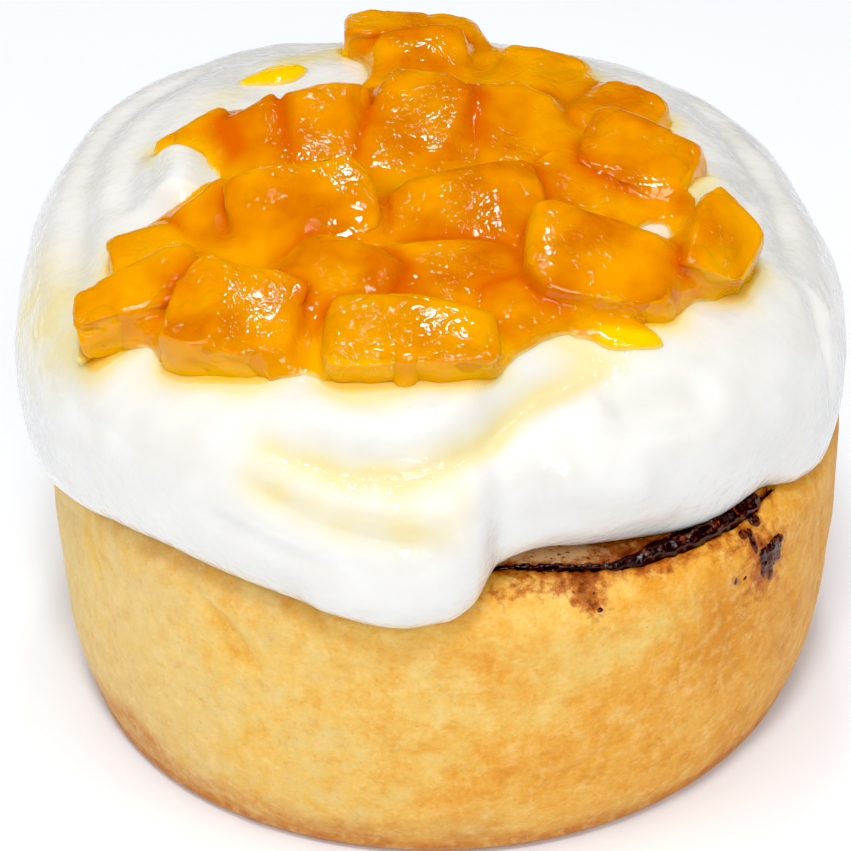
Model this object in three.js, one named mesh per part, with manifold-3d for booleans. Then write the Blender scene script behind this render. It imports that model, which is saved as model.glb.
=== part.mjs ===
// A round cinnamon bun under a thick cap of whipped cream, with diced fruit in
// clear glaze heaped on top.
//
// Millimetres, +Z up.  The origin is the middle of the bun's flat underside.
// A bearing is an angle about +Z in degrees: 0 is the front (-Y), 90 the right (+X).
//
//   dough              the baked bun, with the coiled slot that its filling lies in
//   cinnamon_filling   one upright ribbon that runs through the bun from foot to rim
//   cream              the whipped cap, seated on the bun and pressed in by the fruit
//   fruit_piece_NN     the diced fruit, each chunk a body of its own

import * as THREE from 'three';
import { mergeVertices } from 'three/addons/utils/BufferGeometryUtils.js';
import Module from 'manifold-3d';

const wasm = await Module();
wasm.setup();

// ---------------------------------------------------------------- driving dimensions

const CLEARANCE = 0.3; // between two pieces that touch

// bun
const WALL_RADIUS = 50.2; // at its widest, just under the shoulder
const FOOT_RADIUS = 44; // where the wall meets the foot's edge
const FOOT_EDGE = 1.6; // rounding between the wall and the underside
const WALL_CLIMB = 30; // height at which the wall reaches its full radius
const WALL_FULLNESS = 0.39; // under 1 the wall bulges low down
const RIM_HEIGHT = 41.5; // top of the outer turn
const SHOULDER = 6.2; // rounding between the wall and the top
const WALL_TOP = RIM_HEIGHT - SHOULDER;
const CROWN_HEIGHT = 42.1; // middle of the bun, under the cream
const BELLIES = [ // where the wall swells, most at the foot and no more above a height
  { bearing: -50, spread: 34, swell: 1.5, height: 32 },
  { bearing: 88, spread: 30, swell: 1.0, height: 48 },
];

// coiled filling
const TAIL_BEARING = 58; // outer end of the coil
const TAIL_RADIUS = 46.6;
const COIL_PITCH = 10.8; // from one turn to the next
const COIL_TURNS = 3.2;
const COIL_DIP = { from: 29, to: 9, depth: 3.2 }; // the outer turn thickens here
const COIL_DRAFT = 0.86; // radius at the foot as a share of the radius at the rim
const RIBBON_THICKNESS = 1.4;
const GROOVE_DEPTH = 2.3; // how far the slot flares down from the rim
const GROOVE_FLARE = 3.6; // how far the slot's mouth widens to each side
const OPEN_GROOVE = { from: 4, to: 66 }; // bearings where the cream leaves the coil bare
const GROOVE_EASE = 0.16; // share of that span over which the groove opens and closes
const BEAD_HALF_WIDTH = 1.5;
const BEAD_RISE = 0.8; // top of the bead over the rim
const BEAD_BROW = 0.9; // from the bead's top down to where it is widest
const RIBBON_SINK = 0.6; // top of the ribbon below the rim, under the cream
const RIBBON_FOOT = 0.4; // from the underside up to the ribbon

// filling that boiled over the rim and set on the wall
const SPILL = { bearing: 52, height: 34.5, width: 5.6, drop: 7.4, proud: 1.1 };

// cream: height of its middle, and how square its lip is
const CREAM_TOP = 66.8;
const LIP_POWER = 2;
const FOLD_EASE = 0.25; // share of a fold's length over which it fades in and out
// the cap at bearings all round: widest radius and its height, how square its
// shoulder is, then its lip
const CREAM_ROUND = [
  { bearing: -180, radius: 52.4, height: 46, square: 3.9, lip: 49, lipHeight: 36 },
  { bearing: -150, radius: 54.4, height: 47, square: 4.6, lip: 49, lipHeight: 38 },
  { bearing: -128, radius: 55.0, height: 47, square: 5.0, lip: 49, lipHeight: 35 },
  { bearing: -108, radius: 53.9, height: 46, square: 4.2, lip: 49, lipHeight: 33.5 },
  { bearing: -90, radius: 53.6, height: 45, square: 3.4, lip: 49, lipHeight: 32.5 },
  { bearing: -73, radius: 53.8, height: 45, square: 3.0, lip: 49, lipHeight: 33.5 },
  { bearing: -60, radius: 53.4, height: 46, square: 3.0, lip: 49, lipHeight: 37 },
  { bearing: -50, radius: 52.6, height: 47, square: 3.0, lip: 48, lipHeight: 39.2 },
  { bearing: -38, radius: 52.0, height: 47.5, square: 3.0, lip: 47.5, lipHeight: 40.3 },
  { bearing: -27, radius: 52.2, height: 47.5, square: 3.0, lip: 47.5, lipHeight: 40 },
  { bearing: -15, radius: 52.8, height: 46.5, square: 3.0, lip: 48, lipHeight: 39.3 },
  { bearing: -6, radius: 53.2, height: 45.5, square: 3.0, lip: 48.5, lipHeight: 38.7 },
  { bearing: 0, radius: 52.9, height: 46, square: 3.0, lip: 48.5, lipHeight: 39.2 },
  { bearing: 3.5, radius: 51.6, height: 46.8, square: 3.0, lip: 46, lipHeight: 39.7 },
  { bearing: 8, radius: 47.6, height: 49.5, square: 3.0, lip: 37.5, lipHeight: 40.3 },
  { bearing: 18, radius: 46.6, height: 50.3, square: 3.0, lip: 35.4, lipHeight: 40.5 },
  { bearing: 30, radius: 47.4, height: 50.3, square: 3.0, lip: 37.6, lipHeight: 40.5 },
  { bearing: 42, radius: 48.2, height: 49.8, square: 3.0, lip: 40.4, lipHeight: 40.5 },
  { bearing: 54, radius: 48.8, height: 49, square: 3.0, lip: 42.6, lipHeight: 40.3 },
  { bearing: 62, radius: 50.3, height: 46, square: 3.0, lip: 47.5, lipHeight: 39 },
  { bearing: 72, radius: 50.8, height: 45, square: 3.0, lip: 49, lipHeight: 37.5 },
  { bearing: 100, radius: 50.3, height: 45, square: 3.2, lip: 48.6, lipHeight: 38.5 },
  { bearing: 125, radius: 51.2, height: 46, square: 3.6, lip: 48.8, lipHeight: 36.5 },
  { bearing: 150, radius: 52.4, height: 46, square: 3.9, lip: 49, lipHeight: 37.5 },
];
// folds pressed into the cap, each along a few points of bearing and of distance
// down the cap from its middle; a depth under 0 is a ridge
const CREAM_FOLDS = [
  {
    path: [[-34, 47.6], [-20, 48.8], [-6, 48.9], [4, 45], [14, 39], [26, 36.8], [40, 37]],
    depth: 2.1,
    width: 3.5,
  },
  { path: [[-32, 52], [-18, 55.4], [-7, 57], [5, 57]], depth: 1.3, width: 3 },
  { path: [[24, 42], [35, 43.9], [46, 47]], depth: 1.2, width: 3.2 },
  { path: [[78, 47], [69, 55], [67, 63]], depth: 1.3, width: 2.4 },
  { path: [[-64, 46], [-90, 45.8], [-118, 47.5], [-146, 46]], depth: 1.1, width: 2.6 },
  { path: [[74, 42.5], [99, 42.5], [116, 42.5], [140, 45]], depth: 1.2, width: 2.6 },
  { path: [[165, 44], [190, 46], [214, 45]], depth: 1.1, width: 2.8 },
  { path: [[-30, 43.6], [-12, 43.8], [0, 41.5], [10, 35.5]], depth: -1.1, width: 3.2 },
  { path: [[14, 49], [22, 51], [32, 53.5]], depth: -1.0, width: 3.4 },
  { path: [[-20, 66], [-8, 67], [0, 66]], depth: -0.9, width: 4.2 },
  { path: [[-109, 34.6], [-101, 33.2], [-94, 32.6], [-84, 32.4]], depth: -3.2, width: 4.0 },
  { path: [[84, 27.5], [92, 31], [98, 35]], depth: -3.0, width: 3.6 },
];

// fruit: middle, size across (width, depth, height), turn about +Z, lean towards the
// front, roll towards the right, and how much the right end narrows
const FRUIT = [
  { at: [-2.4, 30.4, 65.6], size: [14, 14, 7.5], turn: 6, lean: 22, roll: -4, taper: 0.1 },
  { at: [18.4, -18.6, 66.4], size: [21, 13.5, 10.5], turn: -8, lean: 16, roll: 8, taper: 0.16 },
  { at: [-15.8, -7.8, 66.9], size: [18, 14.5, 10.5], turn: 10, lean: 26, roll: -8, taper: -0.06 },
  { at: [-3.6, -31.4, 65.6], size: [19, 11.5, 9], turn: -3, lean: 16, roll: 3, taper: 0.06 },
  { at: [-36.2, -21.2, 64.1], size: [17.5, 8.5, 7.5], turn: 21, lean: 10, roll: -8, taper: -0.12 },
  { at: [32.4, -13.2, 66.2], size: [10, 12.8, 9], turn: -18, lean: 16, roll: 18, taper: 0.26 },
  { at: [2.0, -7.2, 65.9], size: [20.5, 15, 10], turn: 9, lean: 18, roll: -6, taper: -0.12 },
  { at: [24.6, 5.4, 65.8], size: [16, 13.5, 10.5], turn: -26, lean: 12, roll: 4, taper: 0.08 },
  { at: [-14.2, 11.4, 66.3], size: [12, 17, 11], turn: 6, lean: 26, roll: -4, taper: 0 },
  { at: [-24.3, -26.2, 65.0], size: [15.6, 14.8, 9.6], turn: -14, lean: 16, roll: 6, taper: 0.08 },
  { at: [12.6, 27.8, 64.5], size: [14, 14, 6.5], turn: -8, lean: 4, roll: 6, taper: 0.14 },
  { at: [21.9, 19.3, 64.5], size: [10.6, 12.2, 7.6], turn: -32, lean: 6, roll: 6, taper: 0.1 },
  { at: [9.2, 12.6, 65.5], size: [13.5, 18.5, 9], turn: 18, lean: 14, roll: 4, taper: 0.06 },
  { at: [16.0, -2.4, 64.9], size: [14, 12, 8.5], turn: -20, lean: 14, roll: 6, taper: 0.16 },
  { at: [0.6, -20.0, 64.4], size: [17.5, 15, 10.5], turn: 3, lean: 16, roll: 4, taper: 0.06 },
  { at: [-3.0, 11.4, 65.8], size: [14.5, 20.5, 10], turn: -10, lean: 16, roll: 2, taper: 0.04 },
  { at: [-23.0, 10.6, 65.1], size: [9.5, 15, 9.5], turn: 16, lean: 18, roll: -6, taper: -0.08 },
  { at: [-30.2, 9.8, 64.4], size: [12, 10, 7.5], turn: 20, lean: 10, roll: -12, taper: -0.14 },
  { at: [-12.8, -21.6, 65.0], size: [16, 14, 9], turn: -24, lean: 14, roll: -4, taper: 0.08 },
  { at: [-4.6, 39.4, 65.2], size: [19, 8.5, 7.5], turn: 3, lean: -4, roll: 4, taper: 0.06 },
  { at: [-35.0, -11.6, 63.4], size: [10.5, 9.5, 6.5], turn: 14, lean: 6, roll: -8, taper: 0 },
  { at: [8.0, -23.8, 64.4], size: [7.8, 7.8, 7], turn: 30, lean: 8, roll: 0, taper: 0 },
  { at: [-27.6, -5.6, 65.1], size: [9.5, 9, 7.5], turn: 30, lean: 14, roll: -12, taper: -0.2 },
];
const FRUIT_POWER = 5; // how square a chunk's edges are
const FRUIT_SKEW = 0.13; // how far a corner strays, as a share of the chunk's size
const FRUIT_LUMP = 0.04; // unevenness of its faces, as a share of the chunk's size
const LUMP_WAVES = [2.3, 2.1, 2.6, 1.9]; // radians per half size, for the unevenness
const LUMP_PHASES = [1.7, 2.9]; // radians from one chunk to the next
const HASH = { number: 12.9898, corner: 78.233, axis: 37.719, scale: 43758.5453 }; // stray seeds

// how finely the surfaces are faceted
const BUN_SIDES = 44;
const CREAM_SIDES = 50;
const CREAM_FRONT_BIAS = 14; // degrees that crowd the facets towards the front
const CREAM_ROWS = { shoulder: 12, lip: 6 };
const COIL_STEPS_PER_TURN = 22;
const CHUNK_FACES = [3, 3, 3];

// ---------------------------------------------------------------- small helpers

const lerp = (a, b, t) => a + (b - a) * t;
const clamp01 = (t) => Math.min(1, Math.max(0, t));
const smooth = (t) => clamp01(t) ** 2 * (3 - 2 * clamp01(t));
const bell = (x) => Math.exp(-x * x);
const wrap = (degrees) => ((((degrees + 180) % 360) + 360) % 360) - 180;

function aroundAxis(radius, bearing, z) {
  const angle = THREE.MathUtils.degToRad(bearing);
  return new THREE.Vector3(radius * Math.sin(angle), -radius * Math.cos(angle), z);
}

// 1 along a span, easing to 0 over a share of it at each end
const easedSpan = (t, share) => smooth(t / share) * smooth((1 - t) / share);

// a smooth curve through a few [x, y] points, read at x
function through(points, x) {
  const last = points.length - 1;
  let k = 0;
  while (k < last - 1 && (x - points[k + 1][0]) * (points[last][0] - points[0][0]) > 0) k += 1;
  const slope = (i) => {
    const a = points[Math.max(0, i - 1)];
    const b = points[Math.min(last, i + 1)];
    return (b[1] - a[1]) / (b[0] - a[0]);
  };
  const [x0, y0] = points[k];
  const [x1, y1] = points[k + 1];
  const t = clamp01((x - x0) / (x1 - x0));
  const run = x1 - x0;
  return (
    y0 * (1 + 2 * t) * (1 - t) ** 2 + slope(k) * run * t * (1 - t) ** 2 +
    y1 * t * t * (3 - 2 * t) + slope(k + 1) * run * t * t * (t - 1)
  );
}

// a closed curve through stations at bearings all round, with no overshoot
function allRound(stations, key) {
  const n = stations.length;
  const at = (i) => stations[((i % n) + n) % n];
  const gap = (i) => ((at(i + 1).bearing - at(i).bearing + 360) % 360);
  const rate = (i) => (at(i + 1)[key] - at(i)[key]) / gap(i);
  const slope = (i) => {
    const before = rate(i - 1);
    const after = rate(i);
    if (before * after <= 0) return 0;
    const a = gap(i - 1);
    const b = gap(i);
    return (3 * (a + b)) / ((2 * b + a) / before + (b + 2 * a) / after);
  };
  return (bearing) => {
    const x = wrap(bearing);
    let k = n - 1;
    while (k > 0 && stations[k].bearing > x) k -= 1;
    const t = (x - stations[k].bearing) / gap(k);
    return (
      at(k)[key] * (1 + 2 * t) * (1 - t) ** 2 + slope(k) * gap(k) * t * (1 - t) ** 2 +
      at(k + 1)[key] * t * t * (3 - 2 * t) + slope(k + 1) * gap(k) * t * t * (t - 1)
    );
  };
}

// a closed body of revolution-like rings: point(row, side), with a pole at each end
function ringedBody(rows, sides, point) {
  const positions = [];
  const index = [];
  const put = (p) => positions.push(p.x, p.y, p.z) / 3 - 1;
  const foot = put(point(0, 0));
  const ring = [];
  for (let row = 1; row < rows; row += 1) {
    ring.push([]);
    for (let side = 0; side < sides; side += 1) ring[row - 1].push(put(point(row, side)));
  }
  const head = put(point(rows, 0));
  for (let side = 0; side < sides; side += 1) {
    const next = (side + 1) % sides;
    index.push(foot, ring[0][next], ring[0][side]);
    for (let row = 0; row < ring.length - 1; row += 1) {
      const [a, b] = [ring[row], ring[row + 1]];
      index.push(a[side], a[next], b[next], a[side], b[next], b[side]);
    }
    const top = ring[ring.length - 1];
    index.push(head, top[side], top[next]);
  }
  return geometryOf(positions, index);
}

function geometryOf(positions, index) {
  const geometry = new THREE.BufferGeometry();
  geometry.setAttribute('position', new THREE.Float32BufferAttribute(positions, 3));
  geometry.setIndex(index);
  return geometry;
}

// a body swept through a list of stations, each the same count of outline points
function sweptBody(outlines) {
  const count = outlines[0].length;
  const positions = [];
  const index = [];
  for (const outline of outlines) for (const p of outline) positions.push(p.x, p.y, p.z);
  for (let step = 0; step < outlines.length - 1; step += 1) {
    for (let k = 0; k < count; k += 1) {
      const a = step * count + k;
      const b = step * count + ((k + 1) % count);
      index.push(a, b, b + count, a, b + count, a + count);
    }
  }
  const end = (outlines.length - 1) * count;
  for (const [p, q, r] of THREE.ShapeUtils.triangulateShape(flatten(outlines[0]), [])) {
    index.push(p, r, q, end + p, end + q, end + r);
  }
  return geometryOf(positions, index);
}

// an upright outline laid flat: distance from the axis across, height up
function flatten(outline) {
  return outline.map((p) => new THREE.Vector2(Math.hypot(p.x, p.y), p.z));
}

// ---------------------------------------------------------------- joining and cutting

function toSolid(geometry) {
  const positions = geometry.getAttribute('position').array;
  const index = geometry.index.array;
  return new wasm.Manifold(
    new wasm.Mesh({
      numProp: 3,
      vertProperties: new Float32Array(positions),
      triVerts: new Uint32Array(index),
    }),
  );
}

// the largest connected body of a solid, as a geometry; scraps that a cut leaves go
function largestBody(solid) {
  const { vertProperties, triVerts, numProp } = solid.getMesh();
  const vertexCount = vertProperties.length / numProp;
  const parent = Array.from({ length: vertexCount }, (_, i) => i);
  const root = (i) => {
    let k = i;
    while (parent[k] !== k) k = parent[k] = parent[parent[k]];
    return k;
  };
  for (let t = 0; t < triVerts.length; t += 3) {
    parent[root(triVerts[t])] = root(triVerts[t + 1]);
    parent[root(triVerts[t + 1])] = root(triVerts[t + 2]);
  }
  const corner = (i) => new THREE.Vector3().fromArray(vertProperties, i * numProp);
  const volume = new Map();
  for (let t = 0; t < triVerts.length; t += 3) {
    const [a, b, c] = [0, 1, 2].map((k) => corner(triVerts[t + k]));
    const body = root(triVerts[t]);
    volume.set(body, (volume.get(body) ?? 0) + a.dot(b.cross(c)));
  }
  const keep = [...volume.entries()].sort((p, q) => q[1] - p[1])[0][0];
  const kept = new Map();
  const positions = [];
  const index = [];
  for (let t = 0; t < triVerts.length; t += 3) {
    if (root(triVerts[t]) !== keep) continue;
    for (let k = 0; k < 3; k += 1) {
      const vertex = triVerts[t + k];
      if (!kept.has(vertex)) kept.set(vertex, positions.push(...corner(vertex).toArray()) / 3 - 1);
      index.push(kept.get(vertex));
    }
  }
  return geometryOf(positions, index);
}

// ---------------------------------------------------------------- bun

function wallRadius(z) {
  const climb = Math.sin((Math.PI / 2) * clamp01(z / WALL_CLIMB));
  return lerp(FOOT_RADIUS, WALL_RADIUS, climb ** WALL_FULLNESS);
}

// how far the wall swells out of round
function swelling(bearing, z) {
  let out = 0;
  for (const belly of BELLIES) {
    const across = bell(wrap(bearing - belly.bearing) / belly.spread);
    out += belly.swell * across * (1 - smooth(z / belly.height));
  }
  return out;
}

// [radius, height] from the middle of the underside, out, up and back to the middle
function bunProfile() {
  const flat = FOOT_RADIUS - FOOT_EDGE;
  const edge = wallRadius(FOOT_EDGE);
  const eighth = Math.SQRT1_2; // of a turn round the foot's edge
  const points = [[0, 0], [flat / 2, 0], [flat, 0]];
  points.push([lerp(flat, edge, eighth), FOOT_EDGE * (1 - eighth)]);
  const wallSteps = 6;
  for (let k = 0; k <= wallSteps; k += 1) {
    const z = lerp(FOOT_EDGE, WALL_TOP, k / wallSteps);
    points.push([wallRadius(z), z]);
  }
  const shoulderSteps = 4;
  for (let k = 1; k <= shoulderSteps; k += 1) {
    const angle = ((Math.PI / 2) * k) / shoulderSteps;
    const radius = WALL_RADIUS - SHOULDER * (1 - Math.cos(angle));
    points.push([radius, WALL_TOP + SHOULDER * Math.sin(angle)]);
  }
  points.push([WALL_RADIUS / 2, lerp(RIM_HEIGHT, CROWN_HEIGHT, 0.7)], [0, CROWN_HEIGHT]);
  return points;
}

// the bun's outer form, grown outwards by a margin
function bunForm(margin) {
  const profile = bunProfile();
  return ringedBody(profile.length - 1, BUN_SIDES, (row, side) => {
    const [radius, z] = profile[row];
    const bearing = (360 * side) / BUN_SIDES;
    const out = radius === 0 ? 0 : swelling(bearing, z) + margin;
    const up = z < FOOT_EDGE / 2 ? -margin : margin * clamp01((z - WALL_TOP) / SHOULDER);
    return aroundAxis(radius + out, bearing, z + up);
  });
}

// radius of the coil's middle line, a number of degrees in from its tail
function coilRadius(turned) {
  const bearing = TAIL_BEARING - turned;
  const dip = smooth((COIL_DIP.from - bearing) / (COIL_DIP.from - COIL_DIP.to));
  return TAIL_RADIUS - (COIL_PITCH * turned) / 360 - COIL_DIP.depth * dip;
}

// how open the groove is, a number of degrees in from the coil's tail
function grooveOpenness(turned) {
  const bearing = TAIL_BEARING - turned;
  const t = (bearing - OPEN_GROOVE.from) / (OPEN_GROOVE.to - OPEN_GROOVE.from);
  return t > 0 && t < 1 ? easedSpan(t, GROOVE_EASE) : 0;
}

// an upright body along the coil, run on past each end by a few degrees;
// outline(openness) gives [offset, height] points
function alongCoil(endRoom, outline) {
  const stepAngle = 360 / COIL_STEPS_PER_TURN;
  const steps = Math.round(COIL_TURNS * COIL_STEPS_PER_TURN);
  const stops = Array.from({ length: steps + 1 }, (_, step) => step * stepAngle);
  if (endRoom > 0) {
    stops.unshift(-endRoom);
    stops.push(steps * stepAngle + endRoom * (TAIL_RADIUS / coilRadius(steps * stepAngle)));
  }
  const stations = stops.map((turned) => {
    const bearing = TAIL_BEARING - turned;
    return outline(grooveOpenness(turned)).map(([offset, z]) => {
      const draft = lerp(COIL_DRAFT, 1, clamp01(z / (RIM_HEIGHT - GROOVE_DEPTH)));
      return aroundAxis(coilRadius(turned) * draft + offset, bearing, z);
    });
  });
  return sweptBody(stations);
}

// the slot, open at the foot and flaring to a groove where the rim shows
function coilSlot() {
  const half = RIBBON_THICKNESS / 2 + CLEARANCE;
  const above = RIM_HEIGHT + 4; // clear of the bun's top
  const below = -1; // clear of its underside
  const endRoom = 1; // degrees of slot past the ribbon's tail
  return alongCoil(endRoom, (openness) => {
    const mouth = half + GROOVE_FLARE * openness;
    const waist = RIM_HEIGHT - GROOVE_DEPTH;
    return [[-half, below], [half, below], [half, waist], [mouth, above], [-mouth, above], [-half, waist]];
  });
}

// the ribbon of filling, with a fat bead where it shows, grown by a margin
function fillingRibbon(margin) {
  const half = RIBBON_THICKNESS / 2 + margin;
  const waist = RIM_HEIGHT - GROOVE_DEPTH;
  return alongCoil(0, (openness) => {
    const bead = lerp(half, BEAD_HALF_WIDTH + margin, openness);
    const crest = RIM_HEIGHT + lerp(-RIBBON_SINK, BEAD_RISE, openness) + margin;
    const brow = crest - lerp(BEAD_BROW / 3, BEAD_BROW, openness);
    return [
      [-half, RIBBON_FOOT - margin], [half, RIBBON_FOOT - margin], [half, waist],
      [bead, brow], [0, crest], [-bead, brow], [-half, waist],
    ];
  });
}

// the crust of filling on the wall, sunk into it behind
function wallSpill() {
  const geometry = new THREE.SphereGeometry(1, 10, 8);
  geometry.deleteAttribute('normal');
  geometry.deleteAttribute('uv');
  const blob = mergeVertices(geometry);
  const depth = SPILL.proud * 1.5;
  blob.scale(SPILL.width / 2, depth, SPILL.drop / 2);
  blob.rotateZ(THREE.MathUtils.degToRad(SPILL.bearing));
  const seat = aroundAxis(wallRadius(SPILL.height) - depth + SPILL.proud, SPILL.bearing, SPILL.height);
  blob.translate(seat.x, seat.y, seat.z);
  return blob;
}

// ---------------------------------------------------------------- cream

const capRadius = allRound(CREAM_ROUND, 'radius');
const capHeight = allRound(CREAM_ROUND, 'height');
const capSquareness = allRound(CREAM_ROUND, 'square');
const lipRadius = allRound(CREAM_ROUND, 'lip');
const lipHeight = allRound(CREAM_ROUND, 'lipHeight');

// a quarter of a superellipse: [across, up] for an angle from 0 (up) to a right angle
function squareQuarter(angle, power) {
  const [s, c] = [Math.sin(angle), Math.cos(angle)];
  const stretch = (s ** power + c ** power) ** (1 / power);
  return [s / stretch, c / stretch];
}

// [radius, height] on the unfolded cap: share runs 0 at the middle, 1 at the widest
// ring and 2 at the lip
function capSection(bearing, share) {
  const radius = capRadius(bearing);
  const height = capHeight(bearing);
  if (share <= 1) {
    const [across, up] = squareQuarter((share * Math.PI) / 2, capSquareness(bearing));
    return [radius * across, height + (CREAM_TOP - height) * up];
  }
  const [down, out] = squareQuarter(((share - 1) * Math.PI) / 2, LIP_POWER);
  const lip = lipRadius(bearing);
  return [lip + (radius - lip) * out, height - (height - lipHeight(bearing)) * down];
}

// how far the folds press the cap in, at a bearing and a distance down from its middle
function foldDepth(bearing, travelled) {
  let depth = 0;
  for (const fold of CREAM_FOLDS) {
    const [first, last] = [fold.path[0][0], fold.path[fold.path.length - 1][0]];
    const middle = (first + last) / 2;
    const turned = middle + wrap(bearing - middle);
    const t = (turned - first) / (last - first);
    if (t <= 0 || t >= 1) continue;
    const away = (travelled - through(fold.path, turned)) / fold.width;
    depth += fold.depth * bell(away) * easedSpan(t, FOLD_EASE);
  }
  return depth;
}

// bearings of the cap's facets, closer together at the front
function creamBearing(side) {
  const even = (2 * Math.PI * side) / CREAM_SIDES;
  return THREE.MathUtils.radToDeg(even) - CREAM_FRONT_BIAS * Math.sin(even);
}

// the cap with its folds, closed through the inside of the bun
function creamForm() {
  const { shoulder, lip } = CREAM_ROWS;
  const fine = 60; // steps along half a section when its length is measured
  const rows = shoulder + lip + 2; // and two to close the body
  const columns = [];
  for (let side = 0; side < CREAM_SIDES; side += 1) {
    const bearing = creamBearing(side);
    const section = [];
    let travelled = 0;
    let before = capSection(bearing, 0);
    for (let k = 0; k <= fine * 2; k += 1) {
      const now = capSection(bearing, k / fine);
      travelled += Math.hypot(now[0] - before[0], now[1] - before[1]);
      section.push({ radius: now[0], z: now[1], travelled });
      before = now;
    }
    const pick = (from, to, share) => {
      const goal = lerp(section[from].travelled, section[to].travelled, share);
      let k = from + 1;
      while (k < to && section[k].travelled < goal) k += 1;
      return pressed(section, k, bearing);
    };
    const column = [];
    for (let k = 1; k <= shoulder; k += 1) column.push(pick(0, fine, k / shoulder));
    for (let k = 1; k <= lip; k += 1) column.push(pick(fine, fine * 2, k / lip));
    columns.push(column.reverse());
  }
  const core = WALL_TOP - SHOULDER; // the body closes here, inside the bun
  const coreRadius = WALL_RADIUS * 0.6;
  return ringedBody(rows, CREAM_SIDES, (row, side) => {
    const bearing = creamBearing(side);
    if (row === 0) return new THREE.Vector3(0, 0, core);
    if (row === 1) return aroundAxis(coreRadius, bearing, core);
    if (row === rows) return new THREE.Vector3(0, 0, CREAM_TOP);
    const { radius, z } = columns[side][row - 2];
    return aroundAxis(radius, bearing, z);
  });
}

// a point of a section, pressed in along its own normal by the folds
function pressed(section, k, bearing) {
  const [a, b] = [section[k - 1], section[Math.min(k + 1, section.length - 1)]];
  const run = Math.hypot(b.radius - a.radius, b.z - a.z);
  const depth = foldDepth(bearing, section[k].travelled);
  const acrossNormal = -(b.z - a.z) / run;
  const upNormal = (b.radius - a.radius) / run;
  return { radius: section[k].radius - depth * acrossNormal, z: section[k].z - depth * upNormal };
}

// ---------------------------------------------------------------- fruit

// how far the corner of a chunk strays along one axis: an even spread of -1 to 1
function cornerStray(number, corner, axis) {
  const tick = Math.sin(number * HASH.number + corner * HASH.corner + axis * HASH.axis) * HASH.scale;
  return 2 * (tick - Math.floor(tick)) - 1;
}

// a point of the cube -1 to 1, moved with its stray corners
function skewed(p, number) {
  const moved = p.clone();
  for (let corner = 0; corner < 8; corner += 1) {
    const sign = [corner & 1 ? 1 : -1, corner & 2 ? 1 : -1, corner & 4 ? 1 : -1];
    const weight = ((1 + sign[0] * p.x) * (1 + sign[1] * p.y) * (1 + sign[2] * p.z)) / 8;
    moved.x += FRUIT_SKEW * weight * cornerStray(number, corner, 0);
    moved.y += FRUIT_SKEW * weight * cornerStray(number, corner, 1);
    moved.z += FRUIT_SKEW * weight * cornerStray(number, corner, 2);
  }
  return moved;
}

// a soft-edged chunk of fruit, grown by a margin
function fruitChunk(piece, number, margin) {
  const box = new THREE.BoxGeometry(2, 2, 2, ...CHUNK_FACES);
  box.deleteAttribute('normal');
  box.deleteAttribute('uv');
  const chunk = mergeVertices(box);
  const half = piece.size.map((length) => length / 2 + margin);
  const place = new THREE.Matrix4().makeRotationFromEuler(
    new THREE.Euler(
      THREE.MathUtils.degToRad(piece.lean),
      THREE.MathUtils.degToRad(piece.roll),
      THREE.MathUtils.degToRad(piece.turn),
      'ZYX',
    ),
  );
  place.setPosition(...piece.at);
  const corners = chunk.getAttribute('position');
  for (let k = 0; k < corners.count; k += 1) {
    const p = new THREE.Vector3().fromBufferAttribute(corners, k);
    const sum = [p.x, p.y, p.z].reduce((total, side) => total + Math.abs(side) ** FRUIT_POWER, 0);
    p.divideScalar(sum ** (1 / FRUIT_POWER));
    const q = skewed(p, number);
    const across = Math.sin(LUMP_WAVES[0] * p.x + number * LUMP_PHASES[0]);
    const along = Math.sin(LUMP_WAVES[1] * p.y + number * LUMP_PHASES[1]);
    const upright = Math.sin(LUMP_WAVES[2] * p.z + LUMP_WAVES[3] * p.x + number);
    const swell = 1 + FRUIT_LUMP * (across * along + upright);
    const narrow = 1 - piece.taper * p.x;
    q.set(q.x * half[0] * swell, q.y * half[1] * swell * narrow, q.z * half[2] * swell * narrow);
    q.applyMatrix4(place);
    corners.setXYZ(k, q.x, q.y, q.z);
  }
  return chunk;
}

// each chunk gives way to the ones named before it
function fruitSolids() {
  const grown = [];
  return FRUIT.map((piece, number) => {
    let solid = toSolid(fruitChunk(piece, number, 0));
    for (const neighbour of grown) solid = solid.subtract(neighbour);
    grown.push(toSolid(fruitChunk(piece, number, CLEARANCE)));
    return solid;
  });
}

// ---------------------------------------------------------------- the food

function piece(name, geometry, colour, roughness) {
  const material = new THREE.MeshStandardMaterial({ color: colour, roughness, metalness: 0 });
  const mesh = new THREE.Mesh(geometry, material);
  mesh.name = name;
  return mesh;
}

function doughSolid() {
  const slotted = toSolid(bunForm(0)).subtract(toSolid(coilSlot()));
  return slotted.add(toSolid(wallSpill()));
}

function creamSolid() {
  let cap = toSolid(creamForm()).subtract(toSolid(bunForm(CLEARANCE)));
  cap = cap.subtract(toSolid(fillingRibbon(CLEARANCE)));
  FRUIT.forEach((chunk, number) => {
    cap = cap.subtract(toSolid(fruitChunk(chunk, number, CLEARANCE)));
  });
  return cap;
}

function creamRoll() {
  const group = new THREE.Group();
  group.add(piece('dough', largestBody(doughSolid()), 0xe6b968, 0.62));
  group.add(piece('cinnamon_filling', fillingRibbon(0), 0x4c2519, 0.35));
  group.add(piece('cream', largestBody(creamSolid()), 0xfaf8f0, 0.42));
  fruitSolids().forEach((solid, number) => {
    const name = `fruit_piece_${String(number + 1).padStart(2, '0')}`;
    group.add(piece(name, largestBody(solid), 0xf08c0a, 0.18));
  });
  return group;
}

export default creamRoll();
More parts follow.
